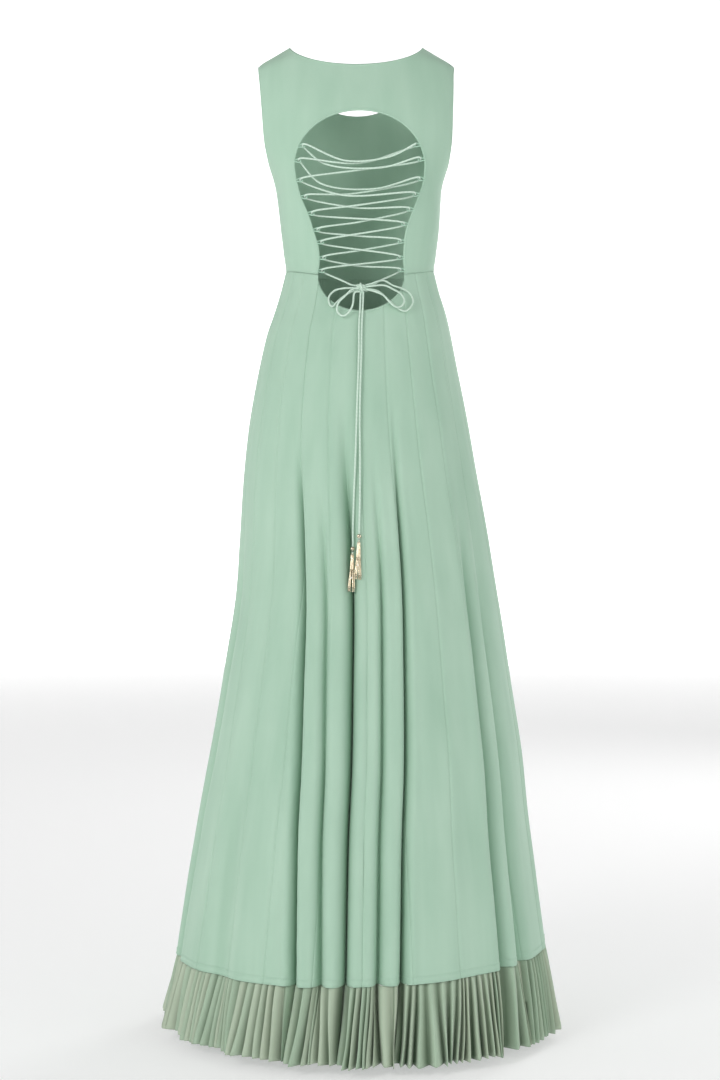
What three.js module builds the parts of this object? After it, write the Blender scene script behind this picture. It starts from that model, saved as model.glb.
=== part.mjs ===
// Anarkali gown: a sleeveless bodice with a laced keyhole back, a skirt of flared kalis and a pleated
// ruffle. Millimetres, +Z up. The gown's front faces -Y and the wearer's left is +X. The origin lies
// midway between the shoulder seams, where the wearer's shoulders carry the gown.
import * as THREE from "three";

// ---------------------------------------------------------------- driving dimensions

const CLOTH_WALL = 2;
const SEAM_GAP = 0.4;
const HALF_GAP = SEAM_GAP / 2;
const WAIST_GAP = 0.8;

// Sections of the body form. `half` is half the width, `back` and `front` are the depths from the
// side seam's plane, `shift` moves the section sideways, `power` is the superellipse's exponent.
const BODY_SECTIONS = [
  { z: 3, half: 106, back: 60, front: 50, shift: 6, power: 2.2 },
  { z: -12, half: 131, back: 66, front: 58, shift: 6, power: 2.2 },
  { z: -28, half: 156, back: 72, front: 66, shift: 6, power: 2.2 },
  { z: -45, half: 164, back: 78, front: 73, shift: 6, power: 2.2 },
  { z: -70, half: 168, back: 86, front: 84, shift: 5, power: 2.2 },
  { z: -107, half: 167, back: 96, front: 101, shift: 4, power: 2.2 },
  { z: -151, half: 157, back: 104, front: 119, shift: 3, power: 2.2 },
  { z: -190, half: 141.5, back: 106, front: 129, shift: 2, power: 2.2 },
  { z: -220, half: 133, back: 104, front: 131, shift: 2, power: 2.2 },
  { z: -250, half: 129.5, back: 100, front: 127, shift: 1, power: 2.2 },
  { z: -290, half: 126, back: 92, front: 112, shift: 0, power: 2.2 },
  { z: -330, half: 121, back: 85, front: 97, shift: 0, power: 2.15 },
  { z: -355, half: 118.5, back: 82, front: 92, shift: 0, power: 2.15 },
  { z: -390, half: 127, back: 92, front: 99, shift: 0, power: 2.12 },
];

// Sections of the skirt, from the waist seam to the ruffle's lower edge.
const SKIRT_SECTIONS = [
  { z: -355, half: 118.5, back: 82, front: 92, shift: 0, power: 2.15 },
  { z: -390, half: 127, back: 92, front: 99, shift: 0, power: 2.12 },
  { z: -422, half: 137, back: 103, front: 107, shift: 0, power: 2.1 },
  { z: -456, half: 147, back: 114, front: 115, shift: 2, power: 2.08 },
  { z: -523, half: 161, back: 132, front: 129, shift: 3, power: 2.05 },
  { z: -601, half: 175, back: 149, front: 144, shift: 2, power: 2.02 },
  { z: -686, half: 187, back: 166, front: 162, shift: -1, power: 2 },
  { z: -782, half: 198, back: 185, front: 182, shift: -7, power: 2 },
  { z: -878, half: 209, back: 206, front: 203, shift: -11, power: 2 },
  { z: -1003, half: 228, back: 232, front: 229, shift: -11, power: 2 },
  { z: -1118, half: 246, back: 256, front: 251, shift: -10, power: 2 },
  { z: -1222, half: 261, back: 275, front: 269, shift: -6, power: 2 },
  { z: -1358, half: 281, back: 294, front: 288, shift: -4, power: 2 },
  { z: -1430, half: 291, back: 300, front: 296, shift: -3, power: 2 },
  { z: -1545, half: 301, back: 308, front: 304, shift: 0, power: 2 },
];

// Waist seam: level at the sides and front, dropping towards centre back.
const WAIST = { side: -355, backDrop: 17 };

// Necklines: half the width, height of the neck point and drop at the centre.
const NECK = { half: 106, top: 3, backDrop: 41, frontDrop: 88 };

// Armhole edges, as distance from the section's middle at each height.
const ARMHOLE = [
  { z: -28, back: 156, front: 156 },
  { z: -48, back: 154.5, front: 152 },
  { z: -70, back: 153, front: 149 },
  { z: -107, back: 151, front: 145 },
  { z: -151, back: 149, front: 144 },
  { z: -176, back: 145, front: 143 },
  { z: -190, back: 141.5, front: 141.5 },
];
const SHOULDER_TIP = -28;
const UNDERARM = -190;

// Keyhole opening: a half ellipse above `archBase`, shaped sides down to the waist seam and a half
// ellipse below it, in the skirt.
const KEYHOLE = { archBase: -200, archRise: 84, lowerRise: 54, waist: -366.5 };
const KEYHOLE_SIDES = [
  { z: -200, left: 102.5, right: 101.5 },
  { z: -222, left: 99, right: 99 },
  { z: -249, left: 91.4, right: 90 },
  { z: -274, left: 80.5, right: 80 },
  { z: -302, left: 71.7, right: 71 },
  { z: -322, left: 65.5, right: 69 },
  { z: -344, left: 63.5, right: 68.2 },
  { z: -366.5, left: 66.2, right: 70 },
];

// Skirt: kalis around the waist, and the height of the ruffle seam with its sideways tilt.
const KALI_COUNT = 24;
const RUFFLE_SEAM = { z: -1430, tilt: -8 };
const KALI_ROWS = [0, 0.05, 0.12, 0.21, 0.33, 0.46, 0.6, 0.74, 0.88, 1];
const KALI_COLUMNS = 4;

// Folds in the skirt, in degrees from centre back towards the wearer's left. Each is a valley whose
// middle runs from `top` at height `start` to `hem` at the ruffle seam; `wide` and `narrow` are its
// widths there and `depth` its depth at the seam. A fold reaches its full strength early, by
// FOLD_GROWTH, and FOLD_SWELL is the share of its depth that swells up beside it.
const FOLDS = [
  { start: -600, top: 32, hem: 20.5, wide: 5, narrow: 3.6, depth: 34 },
  { start: -700, top: 20, hem: 12.3, wide: 4, narrow: 2.8, depth: 14 },
  { start: -560, top: 8, hem: 5.2, wide: 6, narrow: 3, depth: 30 },
  { start: -640, top: -7, hem: -4.3, wide: 4, narrow: 3, depth: 16 },
  { start: -580, top: -18.5, hem: -11.5, wide: 4, narrow: 3, depth: 32 },
  { start: -650, top: -51, hem: -48.5, wide: 5, narrow: 4, depth: 24 },
  { start: -700, top: -62, hem: -57.5, wide: 4, narrow: 4, depth: 18 },
  { start: -1050, top: 52, hem: 48, wide: 9, narrow: 7, depth: 10 },
  { start: -680, top: 76, hem: 79, wide: 5, narrow: 4.5, depth: 20 },
  { start: -620, top: 103, hem: 107, wide: 5, narrow: 4.5, depth: 26 },
  { start: -760, top: 124, hem: 128, wide: 5, narrow: 4.5, depth: 18 },
  { start: -600, top: 150, hem: 147, wide: 5, narrow: 4, depth: 30 },
  { start: -720, top: 166, hem: 164, wide: 4.5, narrow: 3.5, depth: 17 },
  { start: -620, top: 187, hem: 183, wide: 5, narrow: 4, depth: 28 },
  { start: -680, top: 208, hem: 205, wide: 5, narrow: 4, depth: 20 },
  { start: -600, top: 228, hem: 229, wide: 5, narrow: 4.5, depth: 30 },
  { start: -740, top: 250, hem: 252, wide: 5, narrow: 4.5, depth: 17 },
  { start: -640, top: 272, hem: 276, wide: 5, narrow: 4.5, depth: 22 },
];

const FOLD_GROWTH = 2.5;
const FOLD_SWELL = 0.35;

// Ruffle: four joined lengths of pleats that fan out towards the lower edge, at height `hem` with a
// sideways tilt.
const RUFFLE = { lengths: 4, pleats: 96, hem: -1543, tilt: 4, flare: 12, pleatTop: 2.5, pleatHem: 8 };
const RUFFLE_ROWS = [0, 0.45, 1];

// Rouleau loops down each edge of the keyhole, by height.
const LOOPS = [
  { left: -169, right: -167 },
  { left: -190, right: -188 },
  { left: -220, right: -218 },
  { left: -246, right: -242 },
  { left: -272, right: -266 },
  { left: -298, right: -289 },
  { left: -317, right: -315 },
  { left: -341, right: -340 },
  { left: -361, right: -360 },
];
const LOOP = { cord: 1.8, sides: 6, inward: 0.97, outward: 0.243, clear: 1.6 };
// Half of a loop's outline: `out` from the keyhole's edge and `up` from its middle line.
const LOOP_OUTLINE = [
  { out: 0, up: 1.8 },
  { out: 3.5, up: 2.5 },
  { out: 7, up: 3 },
  { out: 9.4, up: 1.9 },
  { out: 10, up: 0 },
];

// Lace: a round cord. Each half zigzags down from the top loop at the wearer's right and passes
// through a loop at every turn; then come the bow's loops and the two hanging ends.
const LACE = { diameter: 3, sides: 8 };
const LACE_ROUTES = {
  lace_left: [
    [-87.1, 90.7, -165.5], [-46.7, 82.3, -184.4], [23.4, 82.8, -190.8], [86.5, 93.3, -167],
    [89.1, 86.9, -169], [86.5, 81.1, -171], [54.6, 77.5, -195], [-34.3, 79.2, -201],
    [-91.7, 85.2, -186], [-94.3, 78.8, -188], [-91.7, 73, -190], [1.6, 73.8, -203.9],
    [90.5, 82.6, -218], [93.1, 76.2, -220], [90.5, 70.4, -222], [23.4, 80.8, -244.9],
    [-83.5, 81.9, -240], [-86.1, 75.5, -242], [-83.5, 69.7, -244], [1.6, 79.4, -259.5],
    [72.6, 84.6, -270], [75.2, 78.2, -272], [72.6, 72.4, -274], [-66.4, 84.3, -287],
    [-69, 77.9, -289], [-66.4, 72.1, -291], [58.2, 82.4, -315], [60.8, 76, -317],
    [58.2, 70.2, -319], [-59.5, 78, -338], [-62.1, 71.6, -340], [-59.5, 65.8, -342],
    [56.7, 79.1, -359], [59.3, 72.7, -361], [56.7, 66.9, -363], [24, 86, -380],
    [12.2, 95, -386.5],
  ],
  lace_right: [
    [-87.1, 81.9, -168], [1.6, 74.8, -193.4], [93, 86.8, -188], [95.6, 80.4, -190],
    [93, 74.6, -192], [61, 73.1, -225], [-23.5, 70.6, -232.7], [-90.6, 79.7, -216],
    [-93.2, 73.3, -218], [-90.6, 67.5, -220], [15.6, 71.5, -241], [83.4, 83.1, -244],
    [86, 76.7, -246], [83.4, 70.9, -248], [1.6, 73.1, -263.1], [-74.4, 84.1, -264],
    [-77, 77.7, -266], [-74.4, 71.9, -268], [1.6, 73.3, -285], [64.1, 83.6, -296],
    [66.7, 77.2, -298], [64.1, 71.4, -300], [1.6, 72, -306.7], [-60.9, 81.7, -313],
    [-63.5, 75.3, -315], [-60.9, 69.5, -317], [1.6, 69.2, -329], [55, 79.8, -339],
    [57.6, 73.4, -341], [55, 67.6, -343], [1.6, 66.2, -352.8], [-60.7, 77.1, -358],
    [-63.3, 70.7, -360], [-60.7, 64.9, -362], [-32, 86, -378], [-18.2, 95, -386.5],
  ],
  bow_left_upper: [
    [12, 99, -391.5], [27.9, 96.9, -392], [40.3, 95, -395.6], [48.4, 96.2, -405.8],
    [47.2, 100.2, -416.4], [42.6, 103.2, -420.6], [35.6, 104.2, -413.8], [26.3, 102.8, -405.6],
    [11.6, 99, -396.5],
  ],
  bow_left_lower: [
    [8, 103, -398.8], [11.6, 111.6, -420.1], [18.5, 113.5, -431.9], [26.2, 113.2, -436.2],
    [33.2, 111.8, -432], [35.8, 110.9, -424.6], [32.4, 109, -414.4], [24.7, 107.3, -406.4],
    [11, 104.4, -393.5],
  ],
  bow_right_outer: [
    [-16.6, 101.5, -385.5], [-35.7, 95, -379.3], [-51.2, 93.5, -386.9], [-65.3, 89, -391],
    [-77.5, 85.1, -398.3], [-82.5, 86.2, -408.5], [-79.2, 91.4, -419.2], [-69.8, 97.3, -426.9],
    [-58.1, 99.7, -422.5], [-41.1, 99.8, -407.1], [-28.7, 98.5, -396.8], [-17.8, 99.5, -393.6],
  ],
  bow_right_inner: [
    [-17.9, 103.5, -389], [-38.7, 99.8, -387.7], [-52.7, 96.9, -394], [-62.9, 94.5, -399.6],
    [-68.7, 95.2, -409.6], [-65.1, 99.9, -418.7], [-56.5, 104.4, -421.6], [-46.4, 105.8, -414.8],
    [-35.6, 104.5, -403], [-17.2, 105, -396],
  ],
  tail_left: [
    [-1, 101, -401], [-0.3, 107.4, -420.4], [1.5, 117.3, -450.8], [1.8, 129.5, -495.1],
    [3.7, 143.5, -552.9], [5.2, 153.9, -600.9], [7.3, 166, -666.8], [9.4, 173.9, -721.5],
    [10.7, 179.6, -766.9], [10.7, 183.1, -789.5],
  ],
  tail_right: [
    [-5, 101, -401], [-4.3, 107.4, -420.4], [-2.6, 117.3, -450.8], [-2, 129.5, -495.1],
    [-0.3, 143.5, -552.9], [0.6, 153.9, -600.9], [0, 166.8, -666.8], [0.3, 176.6, -721.6],
    [0.9, 182.2, -751.9], [1.1, 185.8, -770.7],
  ],
};
const KNOT = { at: [-3, 98, -391], reach: [13, 6.5, 8.5], segments: 10 };

// Tassels: the top of each bead's hanger, and the outline of the bead and the bunch below it.
const TASSELS = [
  { name: "tassel_left", at: [10.9, 184.2, -791] },
  { name: "tassel_right", at: [1.2, 187.4, -772.2] },
];
const TASSEL_LEAN = [0.03, 0.19, -1];
const TASSEL_SEGMENTS = 10;
const TASSEL_OUTLINE = [
  { radius: 0, down: 0 },
  { radius: 2.6, down: 1.2 },
  { radius: 3.6, down: 4 },
  { radius: 2.6, down: 7 },
  { radius: 1.6, down: 8.5 },
  { radius: 2.8, down: 12 },
  { radius: 4.6, down: 34 },
  { radius: 5.4, down: 60 },
  { radius: 5.4, down: 70 },
  { radius: 0, down: 72 },
];

// ---------------------------------------------------------------- materials

const cloth = new THREE.MeshStandardMaterial({ color: 0xa9cfb7, roughness: 0.85, metalness: 0 });
const ruffleCloth = new THREE.MeshStandardMaterial({ color: 0xa3c2a2, roughness: 0.85, metalness: 0 });
const cord = new THREE.MeshStandardMaterial({ color: 0xc8e0cd, roughness: 0.6, metalness: 0 });
const gold = new THREE.MeshStandardMaterial({ color: 0xc9a76a, roughness: 0.35, metalness: 0.9 });

// ---------------------------------------------------------------- small helpers

const RADIANS = Math.PI / 180;
const gown = new THREE.Group();

function add(name, geometry, material) {
  const mesh = new THREE.Mesh(geometry, material);
  mesh.name = name;
  gown.add(mesh);
  return mesh;
}

const mix = (from, to, t) => from + (to - from) * t;
const clamp01 = (t) => Math.min(1, Math.max(0, t));
const smooth = (t) => clamp01(t) ** 2 * (3 - 2 * clamp01(t));

// A smooth curve through one column of a table whose rows run downwards in z.
function column(table, key, z) {
  const last = table.length - 1;
  const height = Math.min(table[0].z, Math.max(table[last].z, z));
  let i = 0;
  while (i < last - 1 && height < table[i + 1].z) {
    i += 1;
  }
  const slope = (k) => {
    const lower = table[Math.min(last, k + 1)];
    const upper = table[Math.max(0, k - 1)];
    return (lower[key] - upper[key]) / (lower.z - upper.z);
  };
  const span = table[i + 1].z - table[i].z;
  const t = (height - table[i].z) / span;
  const a = table[i][key];
  const b = table[i + 1][key];
  const h1 = t * t * (3 - 2 * t);
  const h2 = t * (1 - t) * (1 - t);
  const h3 = t * t * (t - 1);
  return a + (b - a) * h1 + span * (slope(i) * h2 + slope(i + 1) * h3);
}

// ---------------------------------------------------------------- the body and skirt forms

// A point on a form's section. The angle is in degrees: 0 at centre back, 90 at the wearer's left.
function sectionPoint(table, angle, z) {
  const sine = Math.sin(angle * RADIANS);
  const cosine = Math.cos(angle * RADIANS);
  const power = 2 / column(table, "power", z);
  const depth = column(table, cosine >= 0 ? "back" : "front", z);
  const x = column(table, "half", z) * Math.sign(sine) * Math.abs(sine) ** power;
  const y = depth * Math.sign(cosine) * Math.abs(cosine) ** power;
  return new THREE.Vector3(x + column(table, "shift", z), y, z);
}

// The angle at which a section reaches a distance x from its own middle.
function angleAt(table, x, z) {
  const reach = Math.min(1, Math.abs(x) / column(table, "half", z));
  return (Math.sign(x) * Math.asin(reach ** (column(table, "power", z) / 2))) / RADIANS;
}

function waistHeight(angle) {
  const cosine = Math.max(0, Math.cos(angle * RADIANS));
  return WAIST.side - WAIST.backDrop * cosine * cosine;
}

function seamHeight(angle) {
  return RUFFLE_SEAM.z + RUFFLE_SEAM.tilt * Math.sin(angle * RADIANS);
}

// Shortest way round from one angle to another, in degrees.
const turn = (angle) => ((((angle + 180) % 360) + 360) % 360) - 180;

// How far the folds push the skirt in or out at one place.
function foldDepth(angle, z) {
  let push = 0;
  for (const fold of FOLDS) {
    const grown = clamp01((fold.start - z) / (fold.start - RUFFLE_SEAM.z));
    if (grown > 0) {
      const middle = mix(fold.top, fold.hem, grown);
      const width = mix(fold.wide, fold.narrow, grown);
      const away = (turn(angle - middle) / width) ** 2;
      const strength = Math.sqrt(grown) * smooth(grown * FOLD_GROWTH) * (1 - FOLD_SWELL * away);
      push -= fold.depth * strength * Math.exp(-away / 2);
    }
  }
  return push;
}

function skirtPoint(angle, z) {
  const point = sectionPoint(SKIRT_SECTIONS, angle, z);
  const push = foldDepth(angle, z);
  point.x += push * Math.sin(angle * RADIANS);
  point.y += push * Math.cos(angle * RADIANS);
  return point;
}

// ---------------------------------------------------------------- walls of cloth

// A closed wall through a grid of points: `at(i, j)` gives the outer point and the way out of it.
function clothWall(columns, rows, at) {
  const outer = [];
  const inner = [];
  for (let i = 0; i <= columns; i += 1) {
    for (let j = 0; j <= rows; j += 1) {
      const { point, out } = at(i, j);
      outer.push(point);
      inner.push(point.clone().addScaledVector(out, -CLOTH_WALL));
    }
  }
  const positions = [...outer, ...inner].flatMap((p) => [p.x, p.y, p.z]);
  const index = [];
  const id = (i, j) => i * (rows + 1) + j;
  const under = outer.length;
  const quad = (a, b, c, d) => index.push(a, b, c, a, c, d);
  for (let i = 0; i < columns; i += 1) {
    for (let j = 0; j < rows; j += 1) {
      quad(id(i, j), id(i + 1, j), id(i + 1, j + 1), id(i, j + 1));
      quad(under + id(i, j), under + id(i, j + 1), under + id(i + 1, j + 1), under + id(i + 1, j));
    }
  }
  const rim = [];
  for (let i = 0; i < columns; i += 1) rim.push(id(i, 0));
  for (let j = 0; j < rows; j += 1) rim.push(id(columns, j));
  for (let i = columns; i > 0; i -= 1) rim.push(id(i, rows));
  for (let j = rows; j > 0; j -= 1) rim.push(id(0, j));
  rim.forEach((a, k) => {
    const b = rim[(k + 1) % rim.length];
    quad(b, a, under + a, under + b);
  });
  const geometry = new THREE.BufferGeometry();
  geometry.setAttribute("position", new THREE.Float32BufferAttribute(positions, 3));
  geometry.setIndex(index);
  return facingOut(geometry);
}

// Turns the faces over when they enclose a negative volume.
function facingOut(geometry) {
  const position = geometry.attributes.position;
  const index = geometry.index.array;
  const corner = (k) => new THREE.Vector3().fromBufferAttribute(position, index[k]);
  let volume = 0;
  for (let k = 0; k < index.length; k += 3) {
    volume += corner(k).dot(corner(k + 1).cross(corner(k + 2)));
  }
  if (volume < 0) {
    for (let k = 0; k < index.length; k += 3) {
      [index[k + 1], index[k + 2]] = [index[k + 2], index[k + 1]];
    }
  }
  geometry.computeVertexNormals();
  return geometry;
}

// The way out of a surface given by its angle and height.
function wayOut(surface, angle, z) {
  const step = { angle: 0.5, z: 1 };
  const across = surface(angle + step.angle, z).sub(surface(angle - step.angle, z));
  const upward = surface(angle, z + step.z).sub(surface(angle, z - step.z));
  return upward.cross(across).normalize().negate();
}

// The same, kept level, so that seams around the skirt end in flat rims.
function levelWayOut(surface, angle, z) {
  const out = wayOut(surface, angle, z);
  out.z = 0;
  return out.normalize();
}

// ---------------------------------------------------------------- bodice

const bodyPoint = (angle, z) => sectionPoint(BODY_SECTIONS, angle, z);

// The keyhole's edge above the waist: `along` runs from 0 at the waist seam to 1 at the top.
const ARCH_START = 0.54;
function keyholeEdge(along, side) {
  const key = side > 0 ? "left" : "right";
  if (along < ARCH_START) {
    const z = mix(KEYHOLE.waist, KEYHOLE.archBase, along / ARCH_START);
    return { x: side * column(KEYHOLE_SIDES, key, z), z };
  }
  const lift = ((along - ARCH_START) / (1 - ARCH_START)) * 90 * RADIANS;
  return {
    x: side * KEYHOLE_SIDES[0][key] * Math.cos(lift),
    z: KEYHOLE.archBase + KEYHOLE.archRise * Math.sin(lift),
  };
}

// The outer edge of half a bodice piece, in four runs: side seam, armhole, shoulder and neckline.
// `inner` is the keyhole's or the waist's share of each run.
const RUNS = [
  { name: "side", steps: 5, inner: 0.5 },
  { name: "armhole", steps: 8, inner: 0.2 },
  { name: "shoulder", steps: 4, inner: 0.1 },
  { name: "neckline", steps: 7, inner: 0.2 },
];
const HALF_STEPS = RUNS.reduce((sum, run) => sum + run.steps, 0);

// How the armhole's and the neckline's points crowd along their curves.
const ARMHOLE_CROWD = 1.5;
const NECK_CROWD = 1.4;

function outerEdge(run, t, face) {
  if (run === "side") {
    const z = mix(WAIST.side, UNDERARM, t);
    return { angle: 90, z };
  }
  if (run === "armhole") {
    const z = mix(UNDERARM, SHOULDER_TIP, Math.sin(t * 90 * RADIANS) ** ARMHOLE_CROWD);
    return { angle: angleAt(BODY_SECTIONS, column(ARMHOLE, face, z), z), z };
  }
  if (run === "shoulder") {
    return { angle: 90, z: mix(SHOULDER_TIP, NECK.top, t) };
  }
  const sweep = t ** NECK_CROWD * 90 * RADIANS;
  const drop = face === "back" ? NECK.backDrop : NECK.frontDrop;
  const z = NECK.top - drop * Math.sin(sweep);
  return { angle: angleAt(BODY_SECTIONS, NECK.half * Math.cos(sweep), z), z };
}

// The widest angle that the cloth reaches at one height: the side, or the armhole's edge.
function reachAt(face, z) {
  if (z <= UNDERARM || z >= SHOULDER_TIP) {
    return 90;
  }
  return angleAt(BODY_SECTIONS, column(ARMHOLE, face, z), z);
}

// Which run a column of the half piece falls in, how far along it, and its share of the inner edge.
function runAt(step) {
  let start = 0;
  let inner = 0;
  for (const run of RUNS) {
    if (step <= start + run.steps) {
      const t = (step - start) / run.steps;
      return { name: run.name, t, inner: inner + run.inner * t };
    }
    start += run.steps;
    inner += run.inner;
  }
  return { name: "neckline", t: 1, inner: 1 };
}

// Rows crowd towards the middle by SPREAD. The lower edge follows the waist seam, and the columns
// up to WAIST_SHARE of the keyhole's edge ease into it.
const SPREAD = 1.7;
const BACK_ROWS = 9;
const WAIST_SHARE = 0.3;
function backAt(i, j) {
  const side = i <= HALF_STEPS ? 1 : -1;
  const place = runAt(side > 0 ? i : 2 * HALF_STEPS - i);
  const t = j / BACK_ROWS;
  const edge = keyholeEdge(place.inner, side);
  const fromMiddle = edge.x - column(BODY_SECTIONS, "shift", edge.z);
  const start = Math.abs(angleAt(BODY_SECTIONS, fromMiddle, edge.z));
  const end = outerEdge(place.name, place.t, "back");
  const height = mix(edge.z, end.z, t);
  const share = mix(start / reachAt("back", edge.z), end.angle / reachAt("back", end.z), t ** SPREAD);
  const angle = share * reachAt("back", height);
  const level = waistHeight(angle) - mix(waistHeight(start), waistHeight(90), t);
  const nearWaist = Math.max(0, 1 - place.inner / WAIST_SHARE) ** 2;
  const z = height + level * nearWaist;
  const point = bodyPoint(side * angle, z);
  const out = wayOut(bodyPoint, side * angle, z);
  point.y += HALF_GAP;
  point.z += WAIST_GAP;
  return { point, out };
}
add("bodice_back", clothWall(2 * HALF_STEPS, BACK_ROWS, backAt), cloth);

// The front hangs in columns from its upper edge to the waist. `waist` is each run's share there.
const FRONT_ROWS = 10;
const FRONT_WAIST = { side: [0, 0.34], armhole: [0.34, 0.64], shoulder: [0.64, 0.76], neckline: [0.76, 1] };
function frontAt(i, j) {
  const side = i <= HALF_STEPS ? 1 : -1;
  const place = runAt(side > 0 ? i : 2 * HALF_STEPS - i);
  const end = outerEdge(place.name, place.t, "front");
  const [from, to] = FRONT_WAIST[place.name];
  const t = j / FRONT_ROWS;
  const z = mix(WAIST.side, end.z, t);
  const share = mix(1 - mix(from, to, place.t), end.angle / reachAt("front", end.z), t ** SPREAD);
  const angle = 180 - side * share * reachAt("front", z);
  const point = bodyPoint(angle, z);
  const out = wayOut(bodyPoint, angle, z);
  point.y -= HALF_GAP;
  point.z += WAIST_GAP;
  return { point, out };
}
add("bodice_front", clothWall(2 * HALF_STEPS, FRONT_ROWS, frontAt), cloth);

// ---------------------------------------------------------------- skirt

// The keyhole's lower curve, by distance from the middle, found in a few passes; outside it, the
// waist seam.
const TOP_PASSES = 6;
function skirtTop(angle) {
  let z = waistHeight(angle);
  if (Math.cos(angle * RADIANS) <= 0) {
    return z;
  }
  for (let pass = 0; pass < TOP_PASSES; pass += 1) {
    const { x } = skirtPoint(angle, z);
    const reach = KEYHOLE_SIDES[KEYHOLE_SIDES.length - 1][x > 0 ? "left" : "right"];
    const inside = Math.max(0, 1 - (x / reach) ** 2);
    z = waistHeight(angle) - KEYHOLE.lowerRise * Math.sqrt(inside);
  }
  return z;
}

// Two digits, so that numbered names sort in order.
const numbered = (name, n) => `${name}_${String(n).padStart(2, "0")}`;

for (let n = 0; n < KALI_COUNT; n += 1) {
  const width = 360 / KALI_COUNT;
  const kaliAt = (i, j) => {
    const trim = HALF_GAP / SKIRT_SECTIONS[0].back / RADIANS;
    const angle = mix(n * width + trim, (n + 1) * width - trim, i / KALI_COLUMNS);
    const z = mix(skirtTop(angle) - HALF_GAP, seamHeight(angle) + HALF_GAP, KALI_ROWS[j]);
    return { point: skirtPoint(angle, z), out: levelWayOut(skirtPoint, angle, z) };
  };
  add(numbered("kali", n + 1), clothWall(KALI_COLUMNS, KALI_ROWS.length - 1, kaliAt), cloth);
}

// ---------------------------------------------------------------- ruffle

// A point of the pleated frill: `down` is 0 at the seam and 1 at the lower edge.
function rufflePoint(angle, down) {
  const seam = seamHeight(angle);
  const point = skirtPoint(angle, seam);
  const pleat = Math.abs((((angle * RUFFLE.pleats) / 360) % 1 + 1) % 1 - 0.5) * 4 - 1;
  const push = RUFFLE.flare * down + pleat * mix(RUFFLE.pleatTop, RUFFLE.pleatHem, down);
  point.x += push * Math.sin(angle * RADIANS);
  point.y += push * Math.cos(angle * RADIANS);
  point.z = mix(seam - SEAM_GAP, RUFFLE.hem + RUFFLE.tilt * Math.sin(angle * RADIANS), down);
  return point;
}

const plainHem = (angle, z) => sectionPoint(SKIRT_SECTIONS, angle, z);
const RUFFLE_STEPS = (RUFFLE.pleats / RUFFLE.lengths) * 2;
for (let n = 0; n < RUFFLE.lengths; n += 1) {
  const width = 360 / RUFFLE.lengths;
  const ruffleAt = (i, j) => {
    const trim = HALF_GAP / SKIRT_SECTIONS[SKIRT_SECTIONS.length - 1].half / RADIANS;
    const angle = mix(n * width + trim, (n + 1) * width - trim, i / RUFFLE_STEPS);
    return {
      point: rufflePoint(angle, RUFFLE_ROWS[j]),
      out: levelWayOut(plainHem, angle, seamHeight(angle)),
    };
  };
  add(`ruffle_${n + 1}`, clothWall(RUFFLE_STEPS, RUFFLE_ROWS.length - 1, ruffleAt), ruffleCloth);
}

// ---------------------------------------------------------------- loops, lace and tassels

// A cord of round section through every point of its route.
function cordAlong(points, diameter, sides) {
  const path = new THREE.CatmullRomCurve3(points, false, "catmullrom", 0.5);
  path.getUtoTmapping = (u) => u;
  const section = new THREE.Shape();
  for (let n = 0; n < sides; n += 1) {
    const angle = (n / sides) * 360 * RADIANS;
    const x = (diameter / 2) * Math.cos(angle);
    const y = (diameter / 2) * Math.sin(angle);
    if (n === 0) {
      section.moveTo(x, y);
    } else {
      section.lineTo(x, y);
    }
  }
  section.closePath();
  return new THREE.ExtrudeGeometry(section, {
    steps: points.length - 1,
    extrudePath: path,
    bevelEnabled: false,
  });
}

function keyholeWidth(z, side) {
  const key = side > 0 ? "left" : "right";
  if (z < KEYHOLE.archBase) {
    return column(KEYHOLE_SIDES, key, z);
  }
  const rise = (z - KEYHOLE.archBase) / KEYHOLE.archRise;
  return KEYHOLE_SIDES[0][key] * Math.sqrt(1 - rise * rise);
}

function rouleauLoop(z, side) {
  const x = side * keyholeWidth(z, side);
  const fromMiddle = x - column(BODY_SECTIONS, "shift", z);
  const edge = bodyPoint(angleAt(BODY_SECTIONS, fromMiddle, z), z);
  const root = new THREE.Vector3(x, edge.y - CLOTH_WALL / 2, z);
  const inward = new THREE.Vector3(-side * LOOP.inward, LOOP.outward, 0);
  const lower = LOOP_OUTLINE.slice(0, -1).reverse().map(({ out, up }) => ({ out, up: -up }));
  const points = [...LOOP_OUTLINE, ...lower].map(({ out, up }) => {
    const point = root.clone().addScaledVector(inward, Math.max(out, LOOP.clear));
    point.z += up;
    return point;
  });
  return cordAlong(points, LOOP.cord, LOOP.sides);
}

LOOPS.forEach((row, n) => {
  add(`loop_left_${n + 1}`, rouleauLoop(row.left, 1), cloth);
  add(`loop_right_${n + 1}`, rouleauLoop(row.right, -1), cloth);
});

for (const [name, route] of Object.entries(LACE_ROUTES)) {
  const points = route.map(([x, y, z]) => new THREE.Vector3(x, y, z));
  add(name, cordAlong(points, LACE.diameter, LACE.sides), cord);
}

const knot = new THREE.SphereGeometry(1, KNOT.segments, KNOT.segments - 2);
knot.scale(...KNOT.reach);
add("bow_knot", knot, cord).position.set(...KNOT.at);

const tasselOutline = TASSEL_OUTLINE.map(({ radius, down }) => new THREE.Vector2(radius, -down)).reverse();
const hanging = new THREE.Vector3(0, 0, -1);
const lean = new THREE.Vector3(...TASSEL_LEAN).normalize();
for (const { name, at } of TASSELS) {
  const bunch = new THREE.LatheGeometry(tasselOutline, TASSEL_SEGMENTS);
  bunch.rotateX(90 * RADIANS);
  const tassel = add(name, bunch, gold);
  tassel.quaternion.setFromUnitVectors(hanging, lean);
  tassel.position.set(...at);
}

export default gown;
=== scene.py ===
"""Anarkali gown: mint crepe, laced keyhole back with a tasselled bow, flared kalis and a pleated ruffle."""

import math
import random
from collections import namedtuple

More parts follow.
